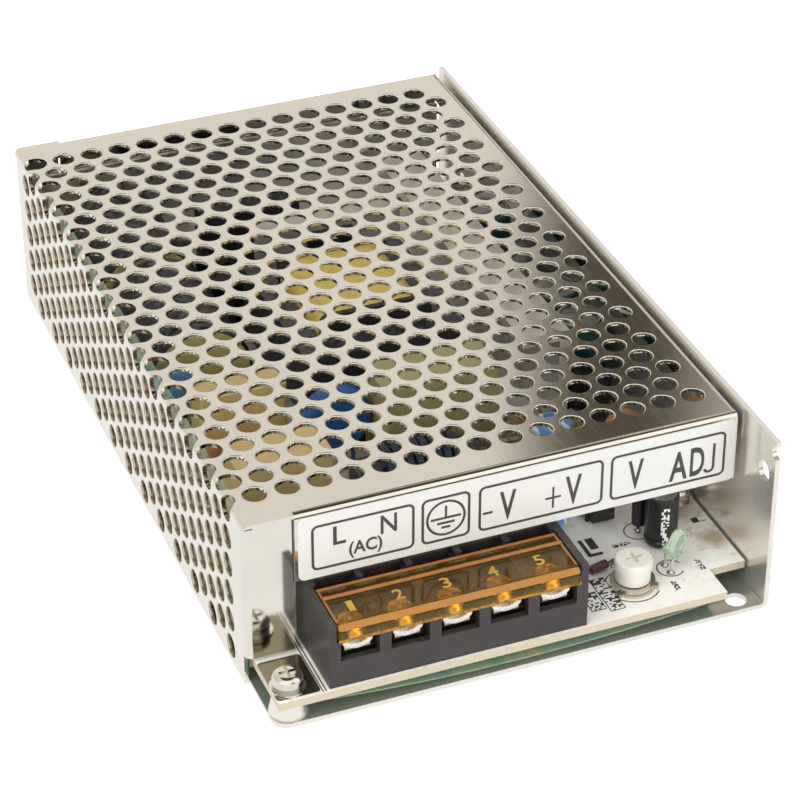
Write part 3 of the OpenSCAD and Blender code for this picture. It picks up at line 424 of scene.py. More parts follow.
def folded_sheet():
    """The chassis's sheet, paler along its sheared upper edges."""
    f = Finish("chassis_sheet", (0.86, 0.83, 0.77), 0.22, Metallic=1.0)
    f.grained(1.4, 0.035, (0.77, 0.74, 0.68), 0.7, 0.05, 0.0012, stretch=(1.0, 0.15, 1.0))
    f.marked(0.35, 0.22, (0.69, 0.66, 0.61))
    n = f.n
    up = f.facing("Z", (0.64, 0.62, 0.57), 0.8, 0.95)
    high = n.above(n.split(n.place())["Z"], at(0, 0, 34).z, at(0, 0, 35).z)
    n.link(n.spread(n.product(up, high), 0.80, 0.2), f.shader.inputs["Metallic"])
    return f.done()


def punched_sheet():
    """The cover's sheet, dark brown on the walls of its holes: a painted reflection of the dark inside of
    the case.
    """
    f = Finish("cover_sheet", (0.87, 0.84, 0.77), 0.085, Metallic=1.0)
    f.grained(1.4, 0.035, (0.78, 0.75, 0.69), 0.7, 0.02, 0.0010, stretch=(1.0, 0.12, 1.0))
    f.marked(0.35, 0.22, (0.70, 0.67, 0.62))
    n = f.n
    spot = n.split(n.place())
    turned = n.split(n.normal())
    inner = at(FOLD_R, LIP_Y + 3, COVER_TOP - FOLD_R)
    outer = at(COVER_RIGHT - 1, ROWS_END, COVER_TOP - COVER_SHEET)
    in_rows = n.product(
        n.above(spot["Y"], inner.y, inner.y + CHANGE_OVER),
        n.below(spot["Y"], outer.y, outer.y + CHANGE_OVER),
    )
    side = n.product(
        n.below(spot["X"], at(COVER_SHEET, 0, 0).x, inner.x),
        n.below(spot["Z"], inner.z - CHANGE_OVER, inner.z),
        n.below(n.math("ABSOLUTE", turned["X"]), 0.4, 0.6),
    )
    top = n.product(
        n.above(spot["Z"], outer.z, outer.z + CHANGE_OVER),
        n.above(spot["X"], inner.x, inner.x + CHANGE_OVER),
        n.below(n.math("ABSOLUTE", turned["Z"]), 0.4, 0.6),
        n.below(spot["X"], outer.x, outer.x + CHANGE_OVER),
    )
    # painted reflection: the walls of the holes take a dark brown for the dark inside of the case that
    # they mirror
    painted_bore_reflection = n.product(in_rows, n.math("MAXIMUM", side, top))
    f.colour = n.blend(painted_bore_reflection, f.colour, (0.34, 0.28, 0.21))
    return f.done()


def plated_steel(name, colour, roughness, metallic=1.0):
    f = Finish(name, colour, roughness, Metallic=metallic)
    f.grained(4.0, 0.5, tinted(colour, 0.82), 0.8, 0.06, 0.004)
    f.marked(1.5, 0.4, tinted(colour, 0.7))
    return f.done()


def contact_tin():
    """Tinned strip, given a dark colour and near black on its front faces: painted shade, as it lies in
    the dark of the openings.
    """
    f = Finish("contact_tin", (0.30, 0.28, 0.24), 0.3, Metallic=1.0)
    f.grained(4.0, 0.5, (0.20, 0.18, 0.15), 0.8, 0.06, 0.004)
    # painted shade: near black on the faces that look to the front
    f.facing("-Y", (0.03, 0.026, 0.02), 0.5, 0.8)
    return f.done()


def moulded(name, colour, roughness=0.45, dust=0.15, relief=0.01):
    f = Finish(name, colour, roughness)
    f.grained(5.0, 0.2, lightened(colour, 1.35), 0.5, 0.07, relief)
    f.dusty(dust)
    return f.done()


def sleeved_can(name, colour, top_axis, top=(0.66, 0.66, 0.65), bare=0.9):
    """Shrink sleeve on the side and bare aluminium on the end."""
    f = Finish(name, colour, 0.32)
    f.grained(2.5, 0.25, lightened(colour, 1.5), 0.5, 0.06, 0.006)
    mask = f.facing(top_axis, top, 0.93, 0.98)
    f.n.link(f.n.product(mask, bare), f.shader.inputs["Metallic"])
    f.dusty(0.2)
    return f.done()


def small_cans():
    """Black sleeves, and a blue one with pale stripes behind the lip."""
    f = Finish("small_can", (0.008, 0.008, 0.009), 0.3)
    f.grained(2.5, 0.25, (0.02, 0.02, 0.022), 0.5, 0.06, 0.006)
    n = f.n
    spot = n.split(n.place())
    near = at(62.5, 37.9, 0)
    far = at(72.9, 37.9, 0)
    left = n.above(spot["X"], near.x, near.x + CHANGE_OVER)
    right = n.below(spot["X"], far.x, far.x + CHANGE_OVER)
    front = n.below(spot["Y"], near.y, near.y + CHANGE_OVER)
    turns = n.math("SINE", n.product(spot["X"], 2200.0))
    striped = n.blend(n.above(turns, 0.55, 0.75), (0.12, 0.30, 0.62), (0.75, 0.78, 0.80))
    f.colour = n.blend(n.product(left, right, front), f.colour, striped)
    return f.done()


def laminate():
    """Board: white varnish above with flux stains, tan at the cut edges, green below."""
    f = Finish("board_laminate", (0.97, 0.95, 0.89), 0.42)
    f.grained(2.2, 0.06, (0.88, 0.85, 0.76), 0.4, 0.08, 0.006)
    n = f.n
    stains = n.add("ShaderNodeGroup", node_tree=GRAIN)
    stains.inputs["Grain per mm"].default_value = 0.35
    stains.inputs["Mottle per mm"].default_value = 0.12
    ragged = stains.outputs["Grain"]
    f.colour = n.blend(n.spread(ragged, 0.0, 0.55, 0.72, 1.0), f.colour, (0.62, 0.55, 0.38))
    place = n.place()
    for spot, reach, share in (((91.6, 27.5, 6.0), 6.5, 0.9), ((94.6, 16.0, 6.0), 4.5, 0.8)):
        away = n.add("ShaderNodeVectorMath", {0: place, 1: at(*spot)}, operation="DISTANCE")
        blurred = n.product(away.outputs["Value"], n.spread(ragged, 0.5, 1.6))
        near = n.spread(blurred, share, 0.0, 0.3 * reach * MM, reach * MM)
        f.colour = n.blend(near, f.colour, (0.42, 0.27, 0.12))
    up = n.split(n.normal())["Z"]
    edge = n.below(n.math("ABSOLUTE", up), 0.3, 0.6)
    f.colour = n.blend(edge, f.colour, (0.56, 0.49, 0.36))
    f.colour = n.blend(n.below(up, -0.6, -0.4), f.colour, (0.12, 0.36, 0.22))
    f.dusty(0.12)
    return f.done()


def clear_plastic(name, colour, roughness, ior=1.49, clear=1.0):
    """Tinted clear moulding, a little uneven in its gloss."""
    f = Finish(name, colour, roughness, IOR=ior, Transmission_Weight=clear)
    f.grained(1.2, 0.2, tinted(colour, 0.93), 0.6, 0.03, 0.006)
    return f.done()


def thin_film():
    """Clear teal film that lets most of the light through, mottled with cream: a painted sheen for the
    play of colour on it.
    """
    f = Finish("clear_film", (0.20, 0.52, 0.43), 0.14, Alpha=0.36)
    f.grained(0.9, 0.25, (0.85, 0.74, 0.44), 1.0, 0.04, 0.01, stretch=(1.0, 0.2, 1.0))
    return f.done()


def safety_coating():
    """Brown coating, and blue on the disc that stands before the lying cans."""
    f = Finish("disc_coating", (0.50, 0.24, 0.10), 0.3)
    f.grained(5.0, 0.2, (0.62, 0.34, 0.16), 0.5, 0.07, 0.03)
    n = f.n
    behind = n.above(n.split(n.place())["Y"], at(0, 74, 0).y, at(0, 75, 0).y)
    f.colour = n.blend(behind, f.colour, (0.10, 0.26, 0.55))
    return f.done()


def taped_winding():
    """Yellow tape in overlapping turns round the transformer."""
    f = Finish("yellow_tape", (0.80, 0.60, 0.13), 0.30)
    f.grained(1.0, 0.15, (0.88, 0.70, 0.24), 0.8, 0.06, 0.02)
    return f.done()


def wound_wire(name, colour, pitch):
    """Varnished wire lying in turns, with painted shade in the grooves between them."""
    f = Finish(name, colour, 0.28, Coat_Weight=0.4)
    f.grained(3.0, 0.3, tinted(colour, 0.6), 0.7, 0.06, 0.01)
    n = f.n
    values = {"Vector": n.place(), "Scale": 1000.0 / pitch / 20.0 * 6.283 / 2.0}
    wave = n.add("ShaderNodeTexWave", values, bands_direction="X")
    # painted shade: near black in the grooves between the turns
    between = n.spread(wave.outputs["Fac"], 0.5, 0.0, 0.0, 0.5)
    f.colour = n.blend(between, f.colour, (0.01, 0.01, 0.015))
    return f.done()


def label_film():
    """Silver-white printed film, faintly mottled."""
    f = Finish("label_film", (0.70, 0.695, 0.665), 0.34)
    f.grained(2.0, 0.03, (0.64, 0.635, 0.60), 0.6, 0.05, 0.002)
    return f.done()


def make_finishes():
    m = {}
    m["chassis"] = folded_sheet()
    m["cover"] = punched_sheet()
    m["screw"] = plated_steel("plated_screws", (0.84, 0.81, 0.75), 0.15)
    m["spring_washer"] = plated_steel("spring_washers", (0.56, 0.55, 0.53), 0.34)
    m["tinned"] = plated_steel("tinned_metal", (0.78, 0.77, 0.73), 0.30)
    m["laminate"] = laminate()
    m["block"] = moulded("block_moulding", (0.030, 0.026, 0.026), 0.34, 0.05, 0.008)
    m["package"] = moulded("moulded_packages", (0.02, 0.02, 0.022), 0.5, 0.12, 0.02)
    m["ferrite"] = moulded("ferrite", (0.035, 0.035, 0.04), 0.38, 0.15, 0.02)
    m["cover_edge"] = plated_sheet("cover_hole_edges", (0.90, 0.87, 0.80), 0.10)
    # darker brown on the side holes' edges: a painted reflection of the dark inside of the case
    m["side_edge_painted_reflection"] = plated_sheet("side_hole_edges", (0.55, 0.48, 0.39), 0.14)
    m["label"] = label_film()
    m["ink"] = moulded("label_ink", (0.045, 0.042, 0.040), 0.5, 0.0, 0.002)
    m["board_ink"] = moulded("board_ink", (0.035, 0.03, 0.028), 0.6, 0.05, 0.003)
    m["solder"] = plated_steel("solder", (0.80, 0.79, 0.76), 0.18)
    m["amber"] = clear_plastic("amber_plastic", (0.84, 0.52, 0.07), 0.07, 1.45, 0.97)
    # painted highlights: opaque orange for the lines where the clear cover's rims, rib and hinge edge
    # catch the light
    m["amber_edge"] = moulded("amber_rim_highlights", (0.33, 0.13, 0.03), 0.22, 0.0, 0.01)
    # painted highlight: a dull orange band for the light on the clear cover's rounded front edge
    m["amber_nose_highlight"] = clear_plastic("amber_nose_highlight", (0.52, 0.24, 0.055), 0.16, 1.45, 0.3)
    m["amber_mark"] = moulded("amber_marks", (0.46, 0.27, 0.035), 0.25, 0.0, 0.01)
    m["film"] = thin_film()
    m["clamp"] = plated_steel("clamp_plates", (0.92, 0.91, 0.86), 0.28, 0.6)
    m["contact"] = contact_tin()
    m["land"] = plated_steel("earth_land", (0.30, 0.26, 0.19), 0.16)
    m["board_white"] = moulded("board_white", (0.82, 0.81, 0.75), 0.5, 0.0, 0.003)
    m["fuse_tube"] = clear_plastic("fuse_tube", (0.95, 0.97, 0.97), 0.03)
    m["lens"] = clear_plastic("lamp_lens", (0.78, 0.96, 0.78), 0.10, 1.45, 0.8)
    m["diode"] = clear_plastic("diode_glass", (0.16, 0.08, 0.09), 0.06, 1.5, 0.5)
    m["adjuster_base"] = plated_steel("adjuster_base", (0.66, 0.60, 0.50), 0.2, 0.9)
    m["knob"] = moulded("knob_moulding", (0.66, 0.64, 0.57), 0.36, 0.06, 0.008)
    m["black_can"] = sleeved_can("black_can", (0.008, 0.008, 0.009), "Z")
    m["small_can"] = small_cans()
    m["lying_can"] = sleeved_can("lying_can", (0.006, 0.006, 0.007), "|Y", (0.60, 0.52, 0.22), 0.2)
    m["green_can"] = sleeved_can("green_can", (0.015, 0.07, 0.06), "Z")
    m["sleeve"] = moulded("black_sleeve", (0.015, 0.015, 0.016), 0.42, 0.05)
    m["tan_box"] = moulded("tan_box", (0.78, 0.58, 0.24), 0.42, 0.2)
    m["sand_box"] = moulded("sand_box", (0.86, 0.60, 0.26), 0.42, 0.15)
    m["olive_box"] = moulded("olive_box", (0.48, 0.42, 0.19), 0.42, 0.2)
    m["blue_disc"] = moulded("blue_coating", (0.03, 0.12, 0.38), 0.26, 0.05, 0.03)
    m["black_disc"] = moulded("black_coating", (0.02, 0.02, 0.02), 0.4, 0.1, 0.03)
    m["brown_disc"] = safety_coating()
    m["tape"] = taped_winding()
    m["heatsink"] = plated_steel("heatsink_plate", (0.80, 0.77, 0.70), 0.36, 0.5)
    m["ring_core"] = moulded("ring_core", (0.74, 0.58, 0.10), 0.4, 0.1, 0.02)
    m["choke_wire"] = wound_wire("choke_wire", (0.035, 0.04, 0.09), 1.9)
    m["copper_wire"] = wound_wire("copper_wire", (0.40, 0.30, 0.20), 1.2)
    m["resistor"] = moulded("resistor_coat", (0.10, 0.20, 0.26), 0.35, 0.05)
    return m


FINISH = make_finishes()

# Each finish and the nodes that wear it
DRESS = {
    "clamp": "clamp_plate",
    "chassis": "chassis",
    "cover": "perforated_cover",
    "screw": "terminal_screw cover_screws board_screws board_flat_washers semiconductor_screws",
    "film": "insulating_sheet",
    "laminate": "circuit_board",
    "spring_washer": "board_spring_washers",
    "block": "terminal_block",
    "contact": "terminal_contacts",
    "amber": "terminal_cover",
    "adjuster_base": "adjuster_base",
    "knob": "adjuster_knob",
    "lens": "indicator_lamp",
    "tinned": "indicator_leads fuse_caps",
    "black_can": "front_capacitor",
    "sleeve": "sleeved_resistor",
    "diode": "glass_diode",
    "ferrite": "filter_choke_core transformer_core",
    "choke_wire": "filter_choke_windings",
    "sand_box": "line_capacitor_front",
    "olive_box": "line_capacitor_middle",
    "tan_box": "line_capacitor_rear",
    "blue_disc": "surge_disc",
    "black_disc": "inrush_thermistor",
    "fuse_tube": "fuse_glass",
    "package": (
        "bridge_rectifier transformer_bobbin switching_transistor output_rectifier optocoupler "
        "control_chip"
    ),
    "lying_can": "input_capacitor_front input_capacitor_rear",
    "tape": "transformer_winding",
    "heatsink": "transistor_heatsink rectifier_heatsink",
    "green_can": "output_capacitor_1 output_capacitor_2 output_capacitor_3",
    "ring_core": "output_inductor_core",
    "copper_wire": "output_inductor_winding",
    "brown_disc": "safety_disc_capacitors",
    "small_can": "small_capacitors",
    "resistor": "resistors",
}


def dress_nodes():
    worn = {name: finish for finish, names in DRESS.items() for name in names.split()}
    for name, node in nodes.items():
        kind = name.rstrip("_12345") if name.startswith(("clamp_plate", "terminal_screw")) else name
        node.data.materials.clear()
        node.data.materials.append(FINISH[worn[kind]])


# ---- Geometry trees: what repeats or follows a path ----


class GeoTree(Nodes):
    """A tree that makes geometry, with named inputs for its sizes and a material input."""

    def __init__(self, name, sizes, counts=(), takes_points=False):
        super().__init__(bpy.data.node_groups.new(name, "GeometryNodeTree"))
        inputs = [("Geometry", "Geometry")] if takes_points else []
        inputs += [(label, "Float") for label in sizes] + [(label, "Int") for label in counts]
        new_socket = self.tree.interface.new_socket
        for label, kind in inputs + [("Material", "Material")]:
            new_socket(label, in_out="INPUT", socket_type=f"NodeSocket{kind}")
        new_socket("Geometry", in_out="OUTPUT", socket_type="NodeSocketGeometry")
        self.size = self.add("NodeGroupInput").outputs

    def vector(self, x, y, z):
        return self.add("ShaderNodeCombineXYZ", {0: x, 1: y, 2: z}).outputs[0]

    def position(self):
        return self.split(self.add("GeometryNodeInputPosition").outputs[0])

    def sized(self, kind, inputs, values=None, **settings):
        """Adds a node whose inputs take the tree's own: a name for each input."""
        links = {label: self.size[source] for label, source in inputs.items()}
        return self.add(kind, {**links, **(values or {})}, **settings)

    def finish(self, geometry, smooth=True):
        real = self.add("GeometryNodeRealizeInstances", {"Geometry": geometry})
        values = {"Geometry": real.outputs[0], "Shade Smooth": smooth}
        shade = self.add("GeometryNodeSetShadeSmooth", values)
        values = {"Geometry": shade.outputs[0], "Material": self.size["Material"]}
        paint = self.add("GeometryNodeSetMaterial", values)
        self.link(paint.outputs[0], self.add("NodeGroupOutput").inputs[0])
        return self.tree


def make_punched_edges():
    """Rolled edges of punched holes in staggered rows, u along a row and v across the rows."""
    sizes = (
        "First u", "First v", "Pitch", "Row pitch", "Stagger", "Lowest u", "Highest u",
        "Hole radius", "Edge radius", "Sheet",
    )
    t = GeoTree("punched_edges", sizes, ("Columns", "Rows"))
    size = t.size
    index = t.add("GeometryNodeInputIndex").outputs[0]
    count = t.product(size["Columns"], size["Rows"])
    points = t.add("GeometryNodePoints", {"Count": count})
    column = t.math("MODULO", index, size["Columns"])
    row = t.math("FLOOR", t.math("DIVIDE", index, size["Columns"]))
    aside = t.product(t.math("MODULO", row, 2.0), size["Stagger"])
    u = t.math("ADD", t.math("ADD", t.product(column, size["Pitch"]), size["First u"]), aside)
    v = t.math("ADD", t.product(row, size["Row pitch"]), size["First v"])
    values = {"Geometry": points.outputs[0], "Position": t.vector(u, v, 0.0)}
    laid = t.add("GeometryNodeSetPosition", values)
    along = t.position()["X"]
    low = t.math("LESS_THAN", along, size["Lowest u"])
    high = t.math("GREATER_THAN", along, size["Highest u"])
    values = {"Geometry": laid.outputs[0], "Selection": t.math("MAXIMUM", low, high)}
    kept = t.add("GeometryNodeDeleteGeometry", values, domain="POINT")
    # one edge: a short tube whose first two bands bend down from the sheet's face and whose last
    # one goes on through the sheet
    values = {"Vertices": 18, "Side Segments": 3, "Radius Top": 1.0, "Radius Bottom": 1.0, "Depth": 1.0}
    tube = t.add("GeometryNodeMeshCone", values, fill_type="NONE")
    spot = t.position()
    share = spot["Z"]
    turn = t.product(t.math("MINIMUM", t.product(share, 1.5), 1.0), math.pi / 2)
    inward = t.product(t.math("SINE", turn), size["Edge radius"])
    radius = t.math("SUBTRACT", size["Hole radius"], inward)
    rolled = t.product(t.math("SUBTRACT", t.math("COSINE", turn), 1.0), size["Edge radius"])
    wall = t.math("SUBTRACT", size["Sheet"], size["Edge radius"])
    down = t.math("SUBTRACT", rolled, t.product(t.math("GREATER_THAN", share, 0.9), wall))
    place = t.vector(t.product(spot["X"], radius), t.product(spot["Y"], radius), down)
    edge = t.add("GeometryNodeSetPosition", {"Geometry": tube.outputs["Mesh"], "Position": place})
    values = {"Points": kept.outputs[0], "Instance": edge.outputs[0]}
    return t.finish(t.add("GeometryNodeInstanceOnPoints", values).outputs[0])


def make_ruled_frame():
    """A line of rounded section that follows a rounded rectangle."""
    sizes = ("Width", "Height", "Corner", "Line", "Thickness", "Rounding")
    t = GeoTree("ruled_frame", sizes)
    oblong = "GeometryNodeCurvePrimitiveQuadrilateral"
    path = t.sized(oblong, {"Width": "Width", "Height": "Height"})
    values = {"Curve": path.outputs[0], "Count": 6}
    bend = t.sized("GeometryNodeFilletCurve", {"Radius": "Corner"}, values, mode="POLY")
    section = t.sized(oblong, {"Width": "Line", "Height": "Thickness"})
    values = {"Curve": section.outputs[0], "Count": 3, "Limit Radius": True}
    eased = t.sized("GeometryNodeFilletCurve", {"Radius": "Rounding"}, values, mode="POLY")
    values = {"Curve": bend.outputs[0], "Profile Curve": eased.outputs[0]}
    return t.finish(t.add("GeometryNodeCurveToMesh", values).outputs[0], smooth=False)


def make_printed_cells():
    """Small printed cells on a grid, some left out by chance."""
    sizes = ("Width", "Length", "Share", "Thickness")
    t = GeoTree("printed_cells", sizes, ("Across", "Along", "Seed"))
    inputs = {"Size X": "Width", "Size Y": "Length", "Vertices X": "Across", "Vertices Y": "Along"}
    grid = t.sized("GeometryNodeMeshGrid", inputs)
    inputs = {"Probability": "Share", "Seed": "Seed"}
    chance = t.sized("FunctionNodeRandomValue", inputs, data_type="BOOLEAN")
    values = {"Geometry": grid.outputs["Mesh"], "Selection": chance.outputs[3]}
    kept = t.add("GeometryNodeDeleteGeometry", values, domain="FACE")
    values = {"Mesh": kept.outputs[0], "Individual": False}
    inputs = {"Offset Scale": "Thickness"}
    raised = t.sized("GeometryNodeExtrudeMesh", inputs, values, mode="FACES")
    return t.finish(raised.outputs["Mesh"], smooth=False)


def make_lead_fillets():
    """A cone of solder with a hollow side round every lead, on the points it is given."""
    t = GeoTree("lead_fillets", ("Pad radius", "Lead radius", "Rise"), takes_points=True)
    inputs = {"Radius Top": "Lead radius", "Radius Bottom": "Pad radius", "Depth": "Rise"}
    values = {"Vertices": 20, "Side Segments": 5}
    tube = t.sized("GeometryNodeMeshCone", inputs, values, fill_type="NONE")
    spot = t.position()
    share = t.math("DIVIDE", spot["Z"], t.size["Rise"])
    sag = t.product(t.math("POWER", share, 2.2), t.size["Rise"])
    place = t.vector(spot["X"], spot["Y"], sag)
    edge = t.add("GeometryNodeSetPosition", {"Geometry": tube.outputs["Mesh"], "Position": place})
    values = {"Points": t.size["Geometry"], "Instance": edge.outputs[0]}
    return t.finish(t.add("GeometryNodeInstanceOnPoints", values).outputs[0])


PUNCHED_EDGES = make_punched_edges()
RULED_FRAME = make_ruled_frame()
PRINTED_CELLS = make_printed_cells()
LEAD_FILLETS = make_lead_fillets()


# ---- Making pieces ----


def place_matrix(origin, u=(1, 0, 0), v=(0, 1, 0), w=(0, 0, 1)):
    """Brings a piece drawn in millimetres on u, v, w to a place in the case."""
    turn = Matrix((u, v, w)).transposed().to_4x4()
    return Matrix.Translation(at(*origin)) @ turn @ Matrix.Scale(MM, 4)


def settle(piece, place, body):
    """Applies a piece's place to its mesh and lets it ride on a body."""
    piece.data.transform(place)
    piece.data.update()
    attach(piece, body)


def grow(name, tree, sizes, finish, place, body, points=()):
    """Runs a geometry tree with the given sizes and keeps its result as a plain mesh."""
    mesh = bpy.data.meshes.new(name)
    mesh.from_pydata([Vector(p) for p in points], [], [])
    piece = add_object(name, mesh)
    modifier = piece.modifiers.new(name, "NODES")
    modifier.node_group = tree
    for socket in tree.interface.items_tree:
        if socket.in_out == "INPUT" and socket.name in sizes:
            modifier[socket.identifier] = sizes[socket.name]
        if socket.in_out == "INPUT" and socket.name == "Material":
            modifier[socket.identifier] = FINISH[finish]
    bpy.context.view_layer.update()
    done = piece.evaluated_get(bpy.context.evaluated_depsgraph_get())
    result = bpy.data.meshes.new_from_object(done)
    piece.modifiers.clear()
    piece.data = result
    bpy.data.meshes.remove(mesh)
    result.name = name
    settle(piece, place, body)


def from_mesh(name, build, finish, place, body):
    """Makes a piece from a function that fills a bmesh in millimetres."""
    mesh = bpy.data.meshes.new(name)
    work = bmesh.new()
    build(work)
    bmesh.ops.recalc_face_normals(work, faces=work.faces)
    work.to_mesh(mesh)
    work.free()
    mesh.materials.append(FINISH[finish])
    piece = add_object(name, mesh)
    settle(piece, place, body)


def rounded_outline(width, height, corner):
    """Corner points of a rounded rectangle about the origin."""
    steps = 6
    points = []
    for quarter, (sx, sy) in enumerate(((1, 1), (-1, 1), (-1, -1), (1, -1))):
        for k in range(steps + 1):
            angle = math.radians(90 * quarter + 90 * k / steps)
            x = sx * (width / 2 - corner) + corner * math.cos(angle)
            points.append((x, sy * (height / 2 - corner) + corner * math.sin(angle)))
    return points


def slab(work, outline, low, high, ease):
    """A flat plate on an outline, its upper edge eased over by the given amount."""
    loops = []
    for inset, z in ((0.0, low), (0.0, high - ease), (ease, high)):
        loop = []
        for x, y in outline:
            scale = 1.0 - inset / math.hypot(x, y)
            loop.append(work.verts.new((x * scale, y * scale, z)))
        loops.append(loop)
    count = len(outline)
    for below, above in zip(loops, loops[1:]):
        for k in range(count):
            work.faces.new((below[k], below[(k + 1) % count], above[(k + 1) % count], above[k]))
    work.faces.new(loops[0][::-1])
    work.faces.new(loops[-1])


def bar(work, x0, x1, y0, y1, z0, z1):
    """A straight bar between two corners."""
    corners = [(x, y, z) for z in (z0, z1) for x, y in ((x0, y0), (x1, y0), (x1, y1), (x0, y1))]
    v = [work.verts.new(c) for c in corners]
    for face in ((3, 2, 1, 0), (4, 5, 6, 7), (0, 1, 5, 4), (1, 2, 6, 5), (2, 3, 7, 6), (3, 0, 4, 7)):
        work.faces.new([v[k] for k in face])


def ring(work, middle, inner, outer, z0, z1, steps=40, start=0.0, end=360.0):
    """A flat ring or a part of one."""
    whole = end - start >= 360.0
    count = steps if whole else steps + 1
    loops = []
    for radius, z in ((inner, z0), (outer, z0), (outer, z1), (inner, z1)):
        loop = []
        for k in range(count):
            angle = math.radians(start + (end - start) * k / steps)
            x = middle[0] + radius * math.cos(angle)
            loop.append(work.verts.new((x, middle[1] + radius * math.sin(angle), z)))
        loops.append(loop)
    for a, b in zip(loops, loops[1:] + loops[:1]):
        for k in range(steps):
            work.faces.new((a[k], b[k], b[(k + 1) % count], a[(k + 1) % count]))
    if not whole:
        work.faces.new([loop[0] for loop in loops])
        work.faces.new([loop[-1] for loop in loops][::-1])


def lettering(name, words, width, height, depth, finish, place, body, weight):
    """Letters standing on u, v about the origin, drawn in millimetres."""
    curve = bpy.data.curves.new(name, "FONT")
    curve.body = words
    curve.size = 1.0
    curve.align_x = "CENTER"
    curve.offset = weight
    curve.resolution_u = 4
    curve.extrude = 0.5
    made = add_object(name, curve)
    bpy.context.view_layer.update()
    mesh = bpy.data.meshes.new_from_object(
        made.evaluated_get(bpy.context.evaluated_depsgraph_get())
    )
    bpy.data.objects.remove(made)
    mesh.name = name
    across = [v.co.x for v in mesh.vertices]
    upward = [v.co.y for v in mesh.vertices]
    left, right, low, high = min(across), max(across), min(upward), max(upward)
    for v in mesh.vertices:
        v.co.x = (v.co.x - (left + right) / 2) * width / (right - left)
        v.co.y = (v.co.y - (low + high) / 2) * height / (high - low)
        v.co.z = (v.co.z + 0.5) * depth
    mesh.materials.clear()
    mesh.materials.append(FINISH[finish])
    piece = add_object(name, mesh)
    settle(piece, place, body)


# ---- Cover: rolled edges of the punched holes ----


def cover_edges():
    common = {
        "Rows": ROWS, "Pitch": HOLE_PITCH, "Row pitch": ROW_PITCH, "First v": FIRST_ROW,
        "Hole radius": HOLE_R, "Edge radius": EDGE_R, "Sheet": COVER_SHEET,
    }
    top = {
        "Columns": TOP_COLUMNS,
        "First u": FIRST_COLUMN + HOLE_PITCH / 2,
        "Stagger": -HOLE_PITCH / 2,
        "Lowest u": FOLD_R + HOLE_R,
        "Highest u": COVER_RIGHT - FOLD_R - HOLE_R,
    }
    grow(
        "top_hole_edges", PUNCHED_EDGES, {**common, **top}, "cover_edge",
        place_matrix((0, 0, COVER_TOP)), "case",
    )
    side = {
        "Columns": SIDE_COLUMNS,
        "First u": FIRST_COLUMN - HOLE_PITCH * (SIDE_COLUMNS - 0.5),
        "Stagger": HOLE_PITCH / 2,
        "Lowest u": -(COVER_TOP - SIDE_FOOT - FOLD_LOSS) + HOLE_R,
        "Highest u": -FOLD_R + FOLD_LOSS - HOLE_R,
    }
    grow(
        "side_hole_edges", PUNCHED_EDGES, {**common, **side}, "side_edge_painted_reflection",
        place_matrix((0, 0, COVER_TOP - FOLD_LOSS), (0, 0, 1), (0, 1, 0), (-1, 0, 0)),
        "case",
    )


# ---- Label on the lip ----

FACE_FRONT = {"u": (1, 0, 0), "v": (0, 0, 1), "w": (0, -1, 0)}


def on_label(x, z, depth=LABEL_THICK):
    """A place on the label's face, seen from the front."""
    return place_matrix((x, LIP_Y - depth, z), **FACE_FRONT)


def label_plate():
    width = LABEL_X[1] - LABEL_X[0]
    height = LABEL_Z[1] - LABEL_Z[0]
    middle = (sum(LABEL_X) / 2, sum(LABEL_Z) / 2)
    outline = rounded_outline(width, height, 1.2)
    from_mesh(
        "terminal_label",
        lambda work: slab(work, outline, 0.0, LABEL_THICK, 0.04),
        "label", on_label(middle[0], middle[1], 0.0), "case",
    )


def label_frames():
    frames = {"line": (12.6, 32.1), "earth": (33.4, 42.8), "output": (44.4, 68.9), "adjust": (70.3, 93.6)}
    for name, (left, right) in frames.items():
        sizes = {
            "Width": right - left - INK_LINE, "Height": FRAME_Z[1] - FRAME_Z[0] - INK_LINE,
            "Corner": 1.0, "Line": INK_LINE, "Thickness": 2 * INK_THICK, "Rounding": 0.0,
        }
        place = on_label((left + right) / 2, sum(FRAME_Z) / 2)
        grow(name + "_frame", RULED_FRAME, sizes, "ink", place, "case")


def label_words():
    words = (
        ("line_letter", "L", 17.9, 29.8, 2.4, 4.0, 0.014),
        ("neutral_letter", "N", 27.2, 29.8, 3.1, 4.0, 0.012),
        ("mains_word", "(AC)", 22.8, 25.9, 6.3, 3.6, 0.022),
        ("minus_letter", "V", 50.1, 27.7, 3.2, 6.3, 0.018),
        ("plus_letter", "V", 63.0, 27.7, 3.2, 6.3, 0.018),
        ("adjust_letter_1", "V", 75.4, 27.8, 3.1, 6.4, 0.018),
        ("adjust_letter_2", "A", 84.1, 27.4, 3.7, 6.3, 0.020),
        ("adjust_letter_3", "D", 87.9, 27.5, 2.9, 6.3, 0.020),
    )
    for name, text, x, z, width, height, weight in words:
        lettering(
            name, text, width, height, INK_THICK, "ink",
            on_label(x, z), "case", weight,
        )


def label_strokes():
    """The signs of the two outputs and the last letter of the adjuster's legend."""

    def signs(work):
        bar(work, -12.85, -10.95, -0.9, -0.4, 0.0, INK_THICK)
        bar(work, -0.65, 2.45, -0.85, -0.4, 0.0, INK_THICK)
        bar(work, 0.7, 1.1, -2.9, -0.85, 0.0, INK_THICK)
        bar(work, 0.7, 1.1, -0.4, 1.7, 0.0, INK_THICK)

    def hook(work):
        ring(work, (-0.25, -2.0), 0.62, 1.15, 0.0, INK_THICK, 20, 190, 360)
        bar(work, 0.37, 0.90, -2.0, 3.15, 0.0, INK_THICK)

    from_mesh("output_signs", signs, "ink", on_label(58.1, 27.6), "case")
    from_mesh("adjust_letter_4", hook, "ink", on_label(90.6, 27.5), "case")


